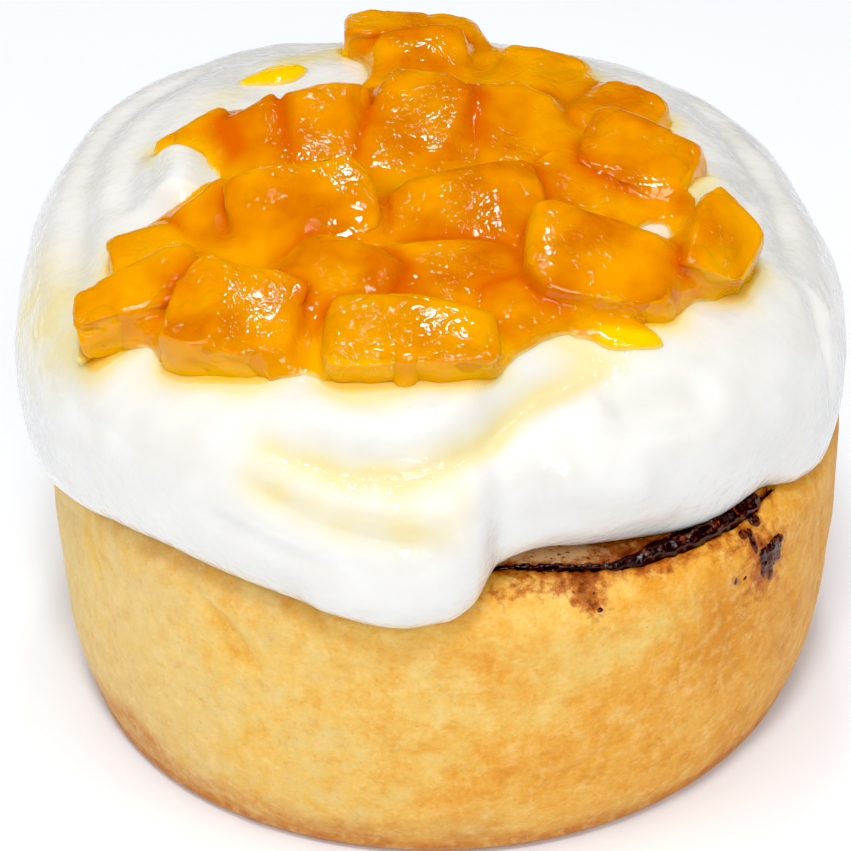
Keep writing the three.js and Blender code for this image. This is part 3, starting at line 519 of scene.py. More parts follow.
def bread_piece():
    """The baked bun, its groove on top and the thin coil of its underside."""
    profile = bun_profile()
    bearing = np.arange(BUN_SIDES) * 360 / BUN_SIDES
    radius, height = profile[:, :1], profile[:, 1:]
    swell = swelling(bearing[None], height)
    rings = around_axis(radius + swell * (radius > FOOT_RADIUS / 2), bearing[None], height + 0 * bearing)
    normal = grid_normals(rings)
    wall = smooth(height / 3) * smooth((RIM_HEIGHT + 3 - height) / 3) + 0 * bearing
    above = (height > FOOT_EDGE) & (normal[..., 2] > -0.5)
    relief = 0.34 * unevenness(rings, 15, 3) + 0.13 * unevenness(rings, 5.5, 4)
    relief = relief + 0.05 * layered(rings, 1.9, 5, 2) * smooth((height - 1) / 4)
    relief = relief - folds_at(WALL_CREASES, bearing[None], height + 0 * bearing)
    rings = rings + normal * (relief * np.where(above, wall, 0) - CRUST_INSET * above)[..., None]
    # groove on top
    away, openness = off_coil(bearing[None], radius + swell, 1)
    width = openness * through(BEAD_SWELL, np.clip(bearing_of(rings), *OPEN_GROOVE))
    waist = RIM_HEIGHT - GROOVE_DEPTH
    ragged = 0.28 * unevenness(rings, 2.2, 8) + 0.12 * unevenness(rings, 0.9, 9)
    flank = np.abs(away) - (RIBBON_THICKNESS / 2 + 0.1) * np.clip(width, 0.45, 1) + ragged
    slope = (GROOVE_TOP - waist) / (GROOVE_FLARE * np.maximum(width, 0.2))
    groove = waist + np.clip(flank, -0.4, 9) * slope
    top = height > WALL_TOP
    ease = 0.35
    sunk = -ease * np.logaddexp(-rings[..., 2] / ease, -groove / ease)
    z = np.where(top & (openness > 0.02), np.minimum(rings[..., 2], sunk), rings[..., 2])
    # coil on the underside
    away_below, _ = off_coil(bearing[None], radius + 0 * bearing, COIL_DRAFT)
    under = 0.9 * (1 - smooth((np.abs(away_below) - 0.8) / 0.9)) + 0.12 * (1 + unevenness(rings, 3, 11))
    z = np.where(height == 0, np.maximum(under, 0), z)
    rings = np.concatenate([rings[..., :2], z[..., None]], axis=-1)

    tone = 0.4 + 0.36 * np.sin(np.radians(bearing_of(rings) - 8))
    z = rings[..., 2]
    side = bearing_of(rings)
    tone = tone + patches_at(GOLDEN_PATCHES, side, z) - patches_at(PALE_PATCHES, side, z)
    tone = tone + 0.16 * unevenness(rings, 9, 21) + 0.13 * unevenness(rings, 3.6, 22)
    # painted shade and light: the tone deepens in the wall's creases and pales on its one ridge
    tone = tone + 0.25 * folds_at(WALL_CREASES, side, z)
    foot_line = 5 + 3.5 * unevenness(rings, 13, 25) + 1.2 * unevenness(rings, 4, 26)
    shaded = smooth((-10 - side) / 25)  # painted shade: the brown foot band reaches higher on the left
    browned_and_shaded = smooth((foot_line + 3.5 + 2 * shaded - z) / 7) * 0.62 + 0.38 * smooth((4 - z) / 3)
    browned_and_shaded = np.where(height == 0, 0.8 + 0.3 * unevenness(rings, 9, 27), browned_and_shaded)
    # browner in a band just under the cream's lip on the left
    upper = smooth((z - 35.5) / 4) * smooth((-4 - side) / 10) * smooth((side + 80) / 30)
    browned_and_shaded = browned_and_shaded + 0.28 * upper * (1 + unevenness(rings, 4, 28))
    browned_and_shaded = browned_and_shaded + patches_at(TAN_PATCHES, side, z)
    upright = np.stack(np.broadcast_arrays(side, z * 0.22, 0 * z), axis=-1)
    right = smooth((side - 38) / 16) * smooth((110 - side) / 30) * smooth((36 - z) / 6)
    browned_and_shaded = browned_and_shaded + 0.3 * right * np.clip(0.3 + layered(upright, 2.4, 29), 0, 1)
    inner_turn = smooth((-away - 0.4) / 0.5) * smooth((z - 37) / 1.5) * (openness > 0)
    stain = patches_at(CINNAMON_STAINS, side, z) * (0.72 + 0.5 * unevenness(rings, 1.4, 30))
    stain = stain * (1 - 0.75 * inner_turn)
    seep = bell(np.maximum(np.abs(away) - 0.9 * width, 0) / 1.15) * smooth((z - 39) / 1) * (openness > 0.02)
    stain = stain + 0.95 * seep * (0.7 + 0.9 * unevenness(rings, 1.3, 31))
    # the inner turn darker brown towards the coil's tail, under the cream's lip: partly cinnamon stain,
    # partly painted shade
    toward_tail = smooth((side - 20) / 9)
    stain = stain + inner_turn * (0.8 * toward_tail + 0.25 * unevenness(rings, 1.8, 32) - 0.05)
    foot = np.array([[0, 0, 0.05]])
    head = np.array([[0, 0, CROWN_HEIGHT]])
    points = np.concatenate([rings.reshape(-1, 3), foot, head])
    masks = {"toast_and_crease_shade": tone, "browned_and_shaded": browned_and_shaded, "cinnamon": stain, "speckled": inner_turn + 0 * tone}
    masks = {k: np.append(np.clip(v, 0, 1.3).ravel(), [0.5, 0.5]) for k, v in masks.items()}
    return mesh_piece("bread", points, ring_faces(*rings.shape[:2]), masks)


def filling_piece():
    """The coiled ribbon of cinnamon filling, with its rough fat bead where the cream leaves it bare."""
    full = COIL_TURNS * 360
    open_to = TAIL_BEARING - OPEN_GROOVE[0]
    turned = np.concatenate([np.arange(0, open_to, 0.3), np.arange(open_to, full, 3.5), [full]])
    openness = groove_openness(turned)
    width = through(BEAD_SWELL, np.clip(TAIL_BEARING - turned, *OPEN_GROOVE))
    half = RIBBON_THICKNESS / 2
    waist = RIM_HEIGHT - GROOVE_DEPTH
    bead = lerp(half, BEAD_HALF_WIDTH * width, openness)
    sunk = smooth((TAIL_BEARING - turned - 52) / 4)  # its tail dives under the crust
    crest = RIM_HEIGHT - 1.6 * sunk + lerp(-0.6, lerp(0.1, BEAD_RISE, smooth((width - 0.4) / 0.45)), openness)
    brow = crest - lerp(0.3, 0.9, openness)
    # half of the outline, from the foot up; the other half mirrors it
    rows = [(half + 0 * bead, RIBBON_FOOT + 0 * bead)]
    rows += [(half + 0 * bead, z + 0 * bead) for z in np.linspace(3, waist - 1, 9)]
    for turn in np.linspace(-np.pi / 2, 0, 5):
        rows.append((lerp(half, bead, np.sin(turn) + 1), lerp(waist, brow, 1 + np.sin(turn))))
    for turn in np.linspace(0, np.pi / 2, 10)[1:]:
        rows.append((bead * np.cos(turn), lerp(brow, crest, np.sin(turn))))
    outline = [(-across, z) for across, z in rows[::-1][1:]]
    outline = rows + outline
    points = []
    for across, z in outline:
        draft = lerp(COIL_DRAFT, 1, np.clip(z / waist, 0, 1))
        points.append(around_axis(coil_radius(turned) * draft + across, TAIL_BEARING - turned, z))
    points = np.stack(points, axis=1)
    top = smooth((points[..., 2] - waist) / 1.2) * openness[:, None]
    grain = 0.34 * unevenness(points, 1.6, 41) + 0.3 * unevenness(points, 0.75, 42)
    middle = around_axis(coil_radius(turned), TAIL_BEARING - turned, brow - 0.5)[:, None]
    outward = points - middle
    outward = outward / np.maximum(np.linalg.norm(outward, axis=-1, keepdims=True), 1e-6)
    points = points + outward * (top * grain)[..., None]
    steps, count = points.shape[:2]
    index = np.arange(steps * count).reshape(steps, count)
    after = np.roll(index, -1, axis=1)
    faces = np.stack([index[:-1], after[:-1], after[1:], index[1:]], axis=-1).reshape(-1, 4).tolist()
    faces += [index[0][::-1].tolist(), index[-1].tolist()]
    return mesh_piece("cinnamon_ribbon", points.reshape(-1, 3), faces)


def spill_piece():
    """Filling that boiled over the rim and set on the wall as dark, rough, glossy crusts."""
    cube, faces = dice_lattice(SPILL_SQUARES)
    ball = cube / np.linalg.norm(cube, axis=1, keepdims=True)
    points, all_faces = [], []
    for number, (bearing, z, half_width, half_drop, proud) in enumerate(SPILLS):
        radius = float(bun_radius(bearing, min(z, RIM_HEIGHT - 0.3)))
        over = np.clip((z - WALL_TOP) / SHOULDER, 0, 1)
        tilt = math.asin(over)  # the wall's normal leans up over the shoulder
        sized = ball * (half_width, proud * 1.1, half_drop)
        fray = 0.34 * unevenness(sized + number * 7, 1.3, 51) + 0.2 * unevenness(sized + number * 7, 0.6, 52)
        sized = sized * (1 + fray)[:, None]
        sized[:, 1] += 0.16 * unevenness(sized + number * 7, 0.7, 53)
        c, s = math.cos(tilt), math.sin(tilt)
        across, out, up = sized.T
        leaned = np.stack([across, out * c + up * s, up * c - out * s], axis=1)
        a = math.radians(bearing)
        turned = np.stack([
            leaned[:, 0] * math.cos(a) - leaned[:, 1] * math.sin(a),
            leaned[:, 0] * math.sin(a) + leaned[:, 1] * math.cos(a),
            leaned[:, 2],
        ], axis=1)
        sunk = radius - 0.5 * proud - 0.25
        points.append(turned + around_axis(sunk, bearing, z))
        all_faces += (np.array(faces) + number * len(ball)).tolist()
    masks = {"crust": np.ones(len(points) * len(ball))}
    return mesh_piece("cinnamon_spill", np.concatenate(points), all_faces, masks)


# ---------------------------------------------------------------- cream

cap_radius, cap_height, cap_square = all_round(1), all_round(2), all_round(3)
lip_radius, lip_height = all_round(4), all_round(5)


def square_quarter(angle, power):
    """A quarter of a superellipse: (across, up) for an angle from 0, which is up, to a right angle."""
    s, c = np.sin(angle), np.cos(angle)
    stretch = (s**power + c**power) ** (1 / power)
    return s / stretch, c / stretch


def cap_section(bearing, share):
    """[radius, height] on the unfolded cap: share is 0 at the middle, 1 at the widest ring, 2 at the lip."""
    radius, height = cap_radius(bearing), cap_height(bearing)
    across, up = square_quarter(np.clip(share, 0, 1) * np.pi / 2, cap_square(bearing))
    down, out = square_quarter(np.clip(share - 1, 0, 1) * np.pi / 2, LIP_POWER)
    lip, low = lip_radius(bearing), lip_height(bearing)
    over = share <= 1
    r = np.where(over, radius * across, lip + (radius - lip) * out)
    z = np.where(over, height + (CREAM_TOP - height) * up, height - (height - low) * down)
    return r, z


def cream_rows():
    """Radius, height, way down the cap and outward normal, by row and side, from the middle to the lip."""
    bearing = np.arange(CREAM_SIDES) * 360 / CREAM_SIDES
    widest = 400  # fine steps from the middle to the widest ring, and as many from there to the lip
    share = np.linspace(0, 2, 2 * widest + 1)
    r, z = cap_section(bearing[None], share[:, None])
    run = np.hypot(np.diff(r, axis=0), np.diff(z, axis=0))
    travelled = np.concatenate([np.zeros((1, CREAM_SIDES)), np.cumsum(run, axis=0)])
    inside = (r < bun_radius(bearing[None], z) + CLEARANCE) & (share[:, None] > 1)
    cap_rows, lip_rows = 112, 22
    rows = {"r": [], "z": [], "along": [], "nr": [], "nz": []}
    for side in range(CREAM_SIDES):
        edge = int(np.argmax(inside[:, side])) if inside[:, side].any() else 2 * widest
        way = travelled[:, side]
        goals = np.concatenate([
            np.linspace(0, way[widest], cap_rows + 1)[1:],
            np.linspace(way[widest], way[edge], lip_rows + 1)[1:],
        ])
        step = 0.15
        here = [np.interp(goals, way, values[:, side]) for values in (r, z)]
        ahead = [np.interp(goals + step, way, values[:, side]) for values in (r, z)]
        behind = [np.interp(goals - step, way, values[:, side]) for values in (r, z)]
        dr, dz = ahead[0] - behind[0], ahead[1] - behind[1]
        length = np.maximum(np.hypot(dr, dz), 1e-9)
        for key, value in zip(rows, (here[0], here[1], goals, -dz / length, dr / length)):
            rows[key].append(value)
    return bearing, {key: np.array(value).T for key, value in rows.items()}


# where the lip hangs lower (or, under 0, higher) than its round: bearing, spread, droop
LIP_DROOPS = [(13, 5, -1.2), (43, 12, 1.15)]
# syrup that soaked into the cream, along paths of bearing and distance down the cap: path, strength, width
SYRUP_STREAKS = [
    ([(-34, 47.6), (-20, 48.9), (-6, 48.9), (4, 45), (14, 39.4), (26, 37), (38, 36.5)], 0.62, 2.2),
    ([(-32, 51.5), (-18, 54.8), (-7, 56.2), (5, 56.4)], 0.42, 2.4),
    ([(-10, 50), (-2, 52), (6, 52)], 0.16, 3.0),
    ([(-72, 44), (-60, 43), (-50, 45)], 0.22, 2.6),
]
SYRUP_SPOTS = [
    (-153, 40, 7, 3.4, 0.55), (-132, 37, 7, 2.6, 0.22), (28, 30.5, 9, 3.2, 0.55), (36, 35.5, 8, 3.0, 0.42),
    (-46, 38, 9, 3.6, 0.25), (-80, 54, 9, 8, 0.44), (-68, 49.5, 9, 7, 0.36), (-36, 42, 5, 2.0, 0.18),
    (70, 36.5, 5, 4.0, 0.22), (-14, 40, 6, 2.0, 0.2),
]


def cream_piece():
    """The whipped cap: folds and spoon strokes on top, and a thin gap to the bun underneath."""
    bearing, rows = cream_rows()
    skin = around_axis(rows["r"], bearing[None], rows["z"])
    along = rows["along"]
    calm = 0.35 + 0.65 * smooth((np.abs(wrap(bearing[None] - 5)) - 35) / 40)  # the front is spread smoother
    pressed = folds_at(CREAM_FOLDS, bearing[None], along) + folds_at(SPOON_STROKES, bearing[None], along)
    swirl = np.stack(np.broadcast_arrays(
        wrap(bearing[None]) * 0.9, along + 0.05 * wrap(bearing[None]), 0 * along), axis=-1)
    seam = smooth((180 - np.abs(wrap(bearing[None]))) / 12)
    stroke = unevenness(swirl, (22, 6, 1), 61) * 0.24
    lumps = 0.4 * unevenness(skin, 11, 63) + 0.16 * unevenness(skin, 5, 64)
    relief = (lumps + stroke * seam) * calm + 0.015 * unevenness(skin, 2.2, 65)
    lip = smooth((skin[..., 2] - 42) / 4)
    droop = sum(drop * bell(wrap(bearing[None] - middle) / spread) for middle, spread, drop in LIP_DROOPS)
    push = relief * (0.35 + 0.65 * lip) - pressed - CREAM_INSET + droop * bell((rows["z"] - 42) / 2.8)
    outward = around_axis(rows["nr"], bearing[None], rows["nz"])
    skin = skin + outward * push[..., None]
    # the inside follows the bun, from the lip's edge back to the middle
    edge_r = np.linalg.norm(skin[-1, :, :2], axis=-1)
    edge_z = skin[-1, :, 2]
    inner = []
    for share in np.linspace(0, 1, 12)[1:]:
        z = lerp(edge_z, RIM_HEIGHT + CLEARANCE, share)
        radius = np.minimum(bun_radius(bearing, np.minimum(z, RIM_HEIGHT)) + CLEARANCE, edge_r)
        inner.append(around_axis(radius, bearing, np.maximum(z, edge_z)))
    start = np.linalg.norm(inner[-1][:, :2], axis=-1)
    for share in np.linspace(0, 1, 14)[1:-1]:
        inner.append(around_axis(start * (1 - share), bearing, RIM_HEIGHT + 2 * CLEARANCE + 0 * start))
    rings = np.concatenate([np.stack(inner)[::-1], skin[::-1]])
    syrup = np.zeros(along.shape)
    for path, strength, width in SYRUP_STREAKS:
        syrup = syrup + folds_at([(path, strength, width)], bearing[None], along)
    syrup = syrup + patches_at(SYRUP_SPOTS, bearing[None] + 0 * along, along)
    near = near_chunks(skin + (0, 0, 1.0))[0]
    syrup = syrup * (0.8 + 0.5 * unevenness(skin, 4, 71))
    syrup = syrup + 0.85 * np.exp(-np.maximum(near, 0) / (1.1 + 0.7 * unevenness(skin, 5, 72)))
    # how far the folds press in, which the material darkens as painted shade
    dip = smooth(pressed / 3)
    masks = {"syrup": syrup, "hollow": dip}
    hidden = np.zeros(len(inner) * CREAM_SIDES)
    masks = {k: np.concatenate([hidden, np.clip(v, 0, 1.2)[::-1].ravel(), [0, 0]]) for k, v in masks.items()}
    foot = np.array([[0, 0, RIM_HEIGHT + 2 * CLEARANCE]])
    head = np.array([[0, 0, CREAM_TOP - 0.2]])
    points = np.concatenate([rings.reshape(-1, 3), foot, head])
    piece = mesh_piece("whipped_cream", points, ring_faces(*rings.shape[:2]), masks)
    return piece, bearing, skin


def cream_height(bearing, skin):
    """A function that reads the cream's height over any point of its top."""
    reach = np.linspace(0, 47, 236)
    top = skin[: int(0.8 * len(skin))]
    radius = np.linalg.norm(top[..., :2], axis=-1)
    heights = np.array([
        np.interp(reach, radius[:, side], top[:, side, 2]) for side in range(len(bearing))
    ])

    def read(x, y):
        side = (np.degrees(np.arctan2(x, -y)) % 360) / (360 / len(bearing))
        ring = np.clip(np.hypot(x, y) / reach[1], 0, len(reach) - 1.001)
        i, j = side.astype(int) % len(bearing), ring.astype(int)
        u, v = side - np.floor(side), ring - j
        k = (i + 1) % len(bearing)
        return lerp(lerp(heights[i, j], heights[k, j], u), lerp(heights[i, j + 1], heights[k, j + 1], u), v)

    return read


# ---------------------------------------------------------------- fruit


def dice_lattice(squares):
    """Points on the skin of the cube -1 to 1, that many squares along a side, and those squares as faces."""
    steps = np.arange(squares + 1)
    a, b = np.meshgrid(steps, steps, indexing="ij")
    index = np.arange((squares + 1) ** 2).reshape(squares + 1, squares + 1)
    places, faces = [], []
    for axis in range(3):
        for end in (0, squares):
            sheet = np.empty((squares + 1, squares + 1, 3), int)
            sheet[..., axis], sheet[..., (axis + 1) % 3], sheet[..., (axis + 2) % 3] = end, a, b
            quads = np.stack([index[:-1, :-1], index[1:, :-1], index[1:, 1:], index[:-1, 1:]], axis=-1)
            quads = quads.reshape(-1, 4) + len(places) * index.size
            faces.append(quads if end else quads[:, ::-1])
            places.append(sheet.reshape(-1, 3))
    unique, inverse = np.unique(np.concatenate(places), axis=0, return_inverse=True)
    return unique * 2.0 / squares - 1, inverse.ravel()[np.concatenate(faces)].tolist()


def stray(number, corner, axis):
    """How far the corner of a chunk strays along one axis: an even spread of -1 to 1."""
    tick = math.sin(number * HASH[0] + corner * HASH[1] + axis * HASH[2]) * HASH[3]
    return 2 * (tick - math.floor(tick)) - 1


def corner_pull(p, number):
    """How far the stray corners of a chunk move the points of the cube -1 to 1."""
    moved = np.zeros_like(p)
    for corner in range(8):
        sign = np.array([1 if corner & bit else -1 for bit in (1, 2, 4)])
        weight = np.prod(1 + sign * p, axis=-1) / 8
        moved += FRUIT_SKEW * weight[..., None] * [stray(number, corner, axis) for axis in range(3)]
    return moved


def lump_swell(p, number):
    across = np.sin(LUMP_WAVES[0] * p[..., 0] + number * LUMP_PHASES[0])
    along = np.sin(LUMP_WAVES[1] * p[..., 1] + number * LUMP_PHASES[1])
    upright = np.sin(LUMP_WAVES[2] * p[..., 2] + LUMP_WAVES[3] * p[..., 0] + number)
    return 1 + FRUIT_LUMP * (across * along + upright)


def knife_planes(number):
    """Flat cuts across a chunk's corners and faces: unit directions and how far out each cut lies."""
    rng = np.random.default_rng(900 + number)
    ways = rng.normal(size=(KNIFE_CUTS, 3)) * (1, 1, 0.8) + (0, 0, 0.5)
    ways /= np.linalg.norm(ways, axis=1, keepdims=True)
    reach = np.abs(ways).sum(axis=1)
    shy = min(1, min(FRUIT[number][1]) / 10)  # small chunks lose less
    return ways, reach * (1 - shy * rng.uniform(0.14, 0.3, KNIFE_CUTS))


def chunk_turn(number):
    _, _, turn, lean, roll, _ = FRUIT[number]
    # about Z first in the chunk's own frame, then Y, then X, as the solids are turned
    a, b, c = math.radians(lean), math.radians(roll), math.radians(turn)
    about_x = Euler((a, 0, 0)).to_matrix()
    about_y = Euler((0, b, 0)).to_matrix()
    about_z = Euler((0, 0, c)).to_matrix()
    return np.array(about_z @ about_y @ about_x)


def chunk_distance(number, points):
    """About how far points lie outside a chunk, in mm; under 0 inside it."""
    at, size, _, _, _, taper = FRUIT[number]
    half = np.array(size) / 2
    local = (points - at) @ chunk_turn(number) / half
    narrow = 1 - taper * np.clip(local[..., 0], -1.3, 1.3)
    local = local / np.stack([np.ones_like(narrow), narrow, narrow], axis=-1)
    p = np.clip(local, -3, 3)
    for _ in range(2):
        p = local - corner_pull(np.clip(p, -1.3, 1.3), number)
    size_now = (np.abs(p) ** FRUIT_POWER).sum(axis=-1) ** (1 / FRUIT_POWER) + 1e-6
    swell = lump_swell(np.clip(p / size_now[..., None], -1, 1), number)
    p, size_now = p / swell[..., None], size_now / swell
    slope = (np.abs(p) / size_now[..., None]) ** (FRUIT_POWER - 1) / half
    away = (size_now - 1) / np.linalg.norm(slope, axis=-1)
    ways, reach = knife_planes(number)
    for way, out in zip(ways, reach):
        away = np.maximum(away, (p @ way - out) / np.linalg.norm(way / half))
    return away


def near_chunks(points, without=None):
    """How points lie to the chunks, right within a few mm of them: the distance to the nearest and to the
    next, how far up the higher of the two they lie (1 at its top), and how ripe the fruit is there."""
    near = np.full((2,) + points.shape[:-1], 30.0)
    level = np.full_like(near, -9.0)
    weight, ripe = np.full(points.shape[:-1], 1e-4), np.full(points.shape[:-1], 0.9e-4)
    for number, (at, size, *_) in enumerate(FRUIT):
        close = np.abs(points - at).max(axis=-1) < max(size) / 2 + 8
        if number == without or not close.any():
            continue
        here = points[close]
        away = chunk_distance(number, here)
        up = ((here - at) @ chunk_turn(number))[:, 2] * 2 / size[2]
        first, second = near[0][close], near[1][close]
        up_first, up_second = level[0][close], level[1][close]
        nearer, next_one = away < first, away < second
        level[1][close] = np.where(nearer, up_first, np.where(next_one, up, up_second))
        level[0][close] = np.where(nearer, up, up_first)
        near[1][close] = np.where(nearer, first, np.where(next_one, away, second))
        near[0][close] = np.where(nearer, away, first)
        share = np.exp(-np.maximum(away, 0) / 0.7)
        weight[close] += share
        ripe[close] += share * YELLOWER.get(number + 1, RIPENESS)
    return near[0], near[1], level.max(axis=0), ripe / weight


def flesh_masks(points, next_chunk, ripe, cream_top):
    """What the fruit's material needs, so that chunks and the gel between them match where they meet."""
    lift = points[:, 2] - cream_top(points[:, 0], points[:, 1])
    # how close another chunk is, which the material paints as a deeper orange shade between chunks
    crevice = np.exp(-np.maximum(next_chunk, 0) / 1.3)
    low = (1 - smooth((lift - 0.4) / 2.2)) * (1 - crevice)
    yellow = ripe * (0.55 + 0.5 * unevenness(points, 7, 85)) + 0.5 * low
    return {"crevice": crevice, "yellow": np.clip(yellow, 0, 1)}, lift


def chunk_piece(number, cube, faces, cream_top):
    """One chunk of fruit: knife-cut facets, soft edges, fibres along its grain and a gel-smooth skin."""
    at, size, _, _, _, taper = FRUIT[number]
    half = np.array(size) / 2
    p = cube / ((np.abs(cube) ** KNIFE_POWER).sum(axis=1, keepdims=True) ** (1 / KNIFE_POWER))
    swell = lump_swell(p, number)[:, None]
    ways, reach = knife_planes(number)
    q = p.copy()
    for way, out in zip(ways, reach):
        q -= np.maximum(q @ way - out, 0)[:, None] * way
    q = q + corner_pull(q, number)
    narrow = 1 - taper * p[:, :1]
    q = q * half * swell * np.hstack([np.ones_like(narrow), narrow, narrow])
    slope = np.sign(p) * np.abs(p) ** 3 / half
    outward = slope / np.linalg.norm(slope, axis=1, keepdims=True)
    seed = q + number * 40
    dents = 0.46 * unevenness(seed, 5.5, 81) + 0.26 * unevenness(seed, 2.6, 82)
    fibre = 0.06 * unevenness(seed, (6, 1.3, 1.3), 83)
    ripple = 0.08 * unevenness(seed, 1.4, 84)
    q = q + outward * (dents + fibre + ripple - CHUNK_INSET)[:, None]
    points = q @ chunk_turn(number).T + at
    next_chunk = near_chunks(points, without=number)[0]
    ripe = np.full(len(points), YELLOWER.get(number + 1, RIPENESS))
    masks, _ = flesh_masks(points, next_chunk, ripe, cream_top)
    masks["edge"] = smooth((np.sort(np.abs(cube), axis=1)[:, 1] - 0.66) / 0.26)
    # painted light: the steep sides are painted yellower, for the glow that the cream below throws back
    steep = smooth((0.7 - (outward @ chunk_turn(number).T)[:, 2]) / 0.5)
    masks["yellow"] = np.clip(masks["yellow"] + 0.4 * steep * (1 - masks["crevice"]), 0, 1)
    return mesh_piece(f"fruit_{number + 1:02d}", points, faces, masks)


GEL_REACH = 6.5  # mm over which the gel banks up between two chunks
POOL_DEPTH = 2.0  # how deep it stands inside the heap
HEAP_CROWD = 1.38  # this many chunks round a place, and gel fills it as the inside of the heap
GEL_SKIN = 0.45  # how thick it stands on what it wets
GEL_FOOT = 0.8  # how softly it rounds into the cream
GEL_ROOT = 1.6  # how far it reaches down into the cream, so that no gap shows
GEL_RETREAT, GEL_ADVANCE = 0.8, 5  # mm that its edge may draw in under a chunk, or run out from one
GEL_CORNER, GEL_SIZE = (-48.0, -41.0, 57.0), (92, 90, 17)  # the box that holds it all


def glaze_piece(cream_top):
    """Clear gel that fills the gaps between the chunks and creeps out as a yellow foot on the cream."""
    low = np.array(GEL_CORNER)
    count = (np.array(GEL_SIZE) / GLAZE_STEP).astype(int)
    axes = [low[k] + GLAZE_STEP * np.arange(count[k]) for k in range(3)]
    grid = np.stack(np.meshgrid(*axes, indexing="ij"), axis=-1)
    x, y, z = (grid[..., k] for k in range(3))
    first, second, level, _ = near_chunks(grid)
    ground = cream_top(x[..., 0], y[..., 0])
    column = np.stack([x[..., 0], y[..., 0], ground + 1.5], axis=-1)
    # how many chunks crowd round each place on the cream, a far one counting less
    crowd = np.zeros(ground.shape)
    for number, (at, *_) in enumerate(FRUIT):
        close = np.abs(column - at).max(axis=-1) < 24
        crowd[close] += np.exp(-np.maximum(chunk_distance(number, column[close]), 0) / 4)
    heaped = smooth((crowd - HEAP_CROWD) / 0.4)
    # how far the gel creeps out past the chunks: a foot here and there, and all the room inside the heap
    creep = -GEL_RETREAT + 2.2 * smooth((unevenness(grid[:, :, 0], 6, 91) - 0.12) / 0.2) + 5.5 * heaped
    for spot_x, spot_y, reach in DRY_SPOTS:
        dry = bell(np.hypot(x[..., 0] - spot_x, y[..., 0] - spot_y) / reach)
        heaped = heaped * (1 - dry)
        creep = creep - GEL_ADVANCE * dry
    # between two chunks the gel stands nearly as high as the lower one
    pull = np.clip(GEL_REACH - (second - first), 0, GEL_REACH) / GEL_REACH
    bank = pull**2 * GEL_REACH / 4 * (1 - smooth((level - 0.1) / 0.6))
    over = (z - (ground + POOL_DEPTH * heaped)[..., None]) * 0.94
    field = -GEL_FOOT * np.logaddexp(-(first - bank) / GEL_FOOT, -over / GEL_FOOT) + GEL_SKIN
    field = np.maximum(field, first - np.clip(creep, -GEL_RETREAT, GEL_ADVANCE)[..., None])
    field = np.maximum(field, (ground - GEL_ROOT)[..., None] - z)
    for bearing, along, half_length, half_width, thick, turn in PUDDLES:
        middle = around_axis(along, bearing, 0)
        a = math.radians(turn)
        u = (x - middle[0]) * math.cos(a) + (y - middle[1]) * math.sin(a)
        v = (y - middle[1]) * math.cos(a) - (x - middle[0]) * math.sin(a)
        wobble = 1 + 0.3 * unevenness(grid[:, :, 0], 3.2, 93)[..., None]
        puddle = np.sqrt((u / half_length) ** 2 + (v / half_width) ** 2) * wobble
        lens = np.sqrt(puddle**2 + ((z - ground[..., None]) / thick) ** 2) - 1
        field = np.minimum(field, lens * thick)
    points, faces = skin_around(field, low, GLAZE_STEP)
    near, next_chunk, _, ripe = near_chunks(points)
    masks, lift = flesh_masks(points, next_chunk, ripe, cream_top)
    masks["thin"] = (1 - smooth(lift / 0.4)) * smooth(near / 1.2)
    masks["syrup"] = smooth((near - 0.9) / 1.6) * smooth((next_chunk - 3.5) / 3)
    masks["edge"] = np.full(lift.shape, 0.3)
    return mesh_piece("fruit_glaze", points, faces, masks)


# ---------------------------------------------------------------- materials

NOISE, CELLS, RANGE = "ShaderNodeTexNoise", "ShaderNodeTexVoronoi", "ShaderNodeMapRange"
MIX, MATH, MASK, BUMP = "ShaderNodeMix", "ShaderNodeMath", "ShaderNodeAttribute", "ShaderNodeBump"
# inputs by number: of a range, what it reads and what it gives, and of a colour mix, with its output
LOW, HIGH, TO_LOW, TO_HIGH = 1, 2, 3, 4
SHARE, UNDER, OVER, BLENDED = 0, 6, 7, 2


def shade(hex_colour):
    """An sRGB hex colour as the linear colour that Blender's sockets take."""
    parts = [int(hex_colour[k : k + 2], 16) / 255 for k in (1, 3, 5)]
    return tuple(c / 12.92 if c <= 0.04045 else ((c + 0.055) / 1.055) ** 2.4 for c in parts) + (1.0,)


def per_mm(size):
    """The texture scale that makes features of a size in mm, in object coordinates of metres."""
    return 1 / (size * MM)


def add(tree, kind, settings=None, links=None, out=0):
    """Adds one node: settings are its own properties or unlinked inputs, links its linked inputs.  It gives
    back the output out, or the node where that is None."""
    node = tree.nodes.new(kind)
    for name, value in (settings or {}).items():
        if isinstance(name, int) or name in node.inputs:
            node.inputs[name].default_value = value
        else:
            setattr(node, name, value)
    for name, source in (links or {}).items():
        tree.links.new(source, node.inputs[name])
    return node if out is None else node.outputs[out]


def new_material(name):
    """An empty material: its node tree, its Principled shader and its object coordinates."""
    material = bpy.data.materials.new(name)
    material.use_nodes = True
    tree = material.node_tree
    shader = next(node for node in tree.nodes if node.type == "BSDF_PRINCIPLED")
    return material, tree, shader, {"Vector": add(tree, "ShaderNodeTexCoord", out="Object")}


def set_finish(shader, **finish):
    """Sets inputs of a shader, each named as it is there with _ for a space."""
    for name, value in finish.items():
        shader.inputs[name.replace("_", " ")].default_value = value


def in_metres(*reach):
    """How far red, green and blue light travel under the skin, from mm."""
    return tuple(length * MM for length in reach)


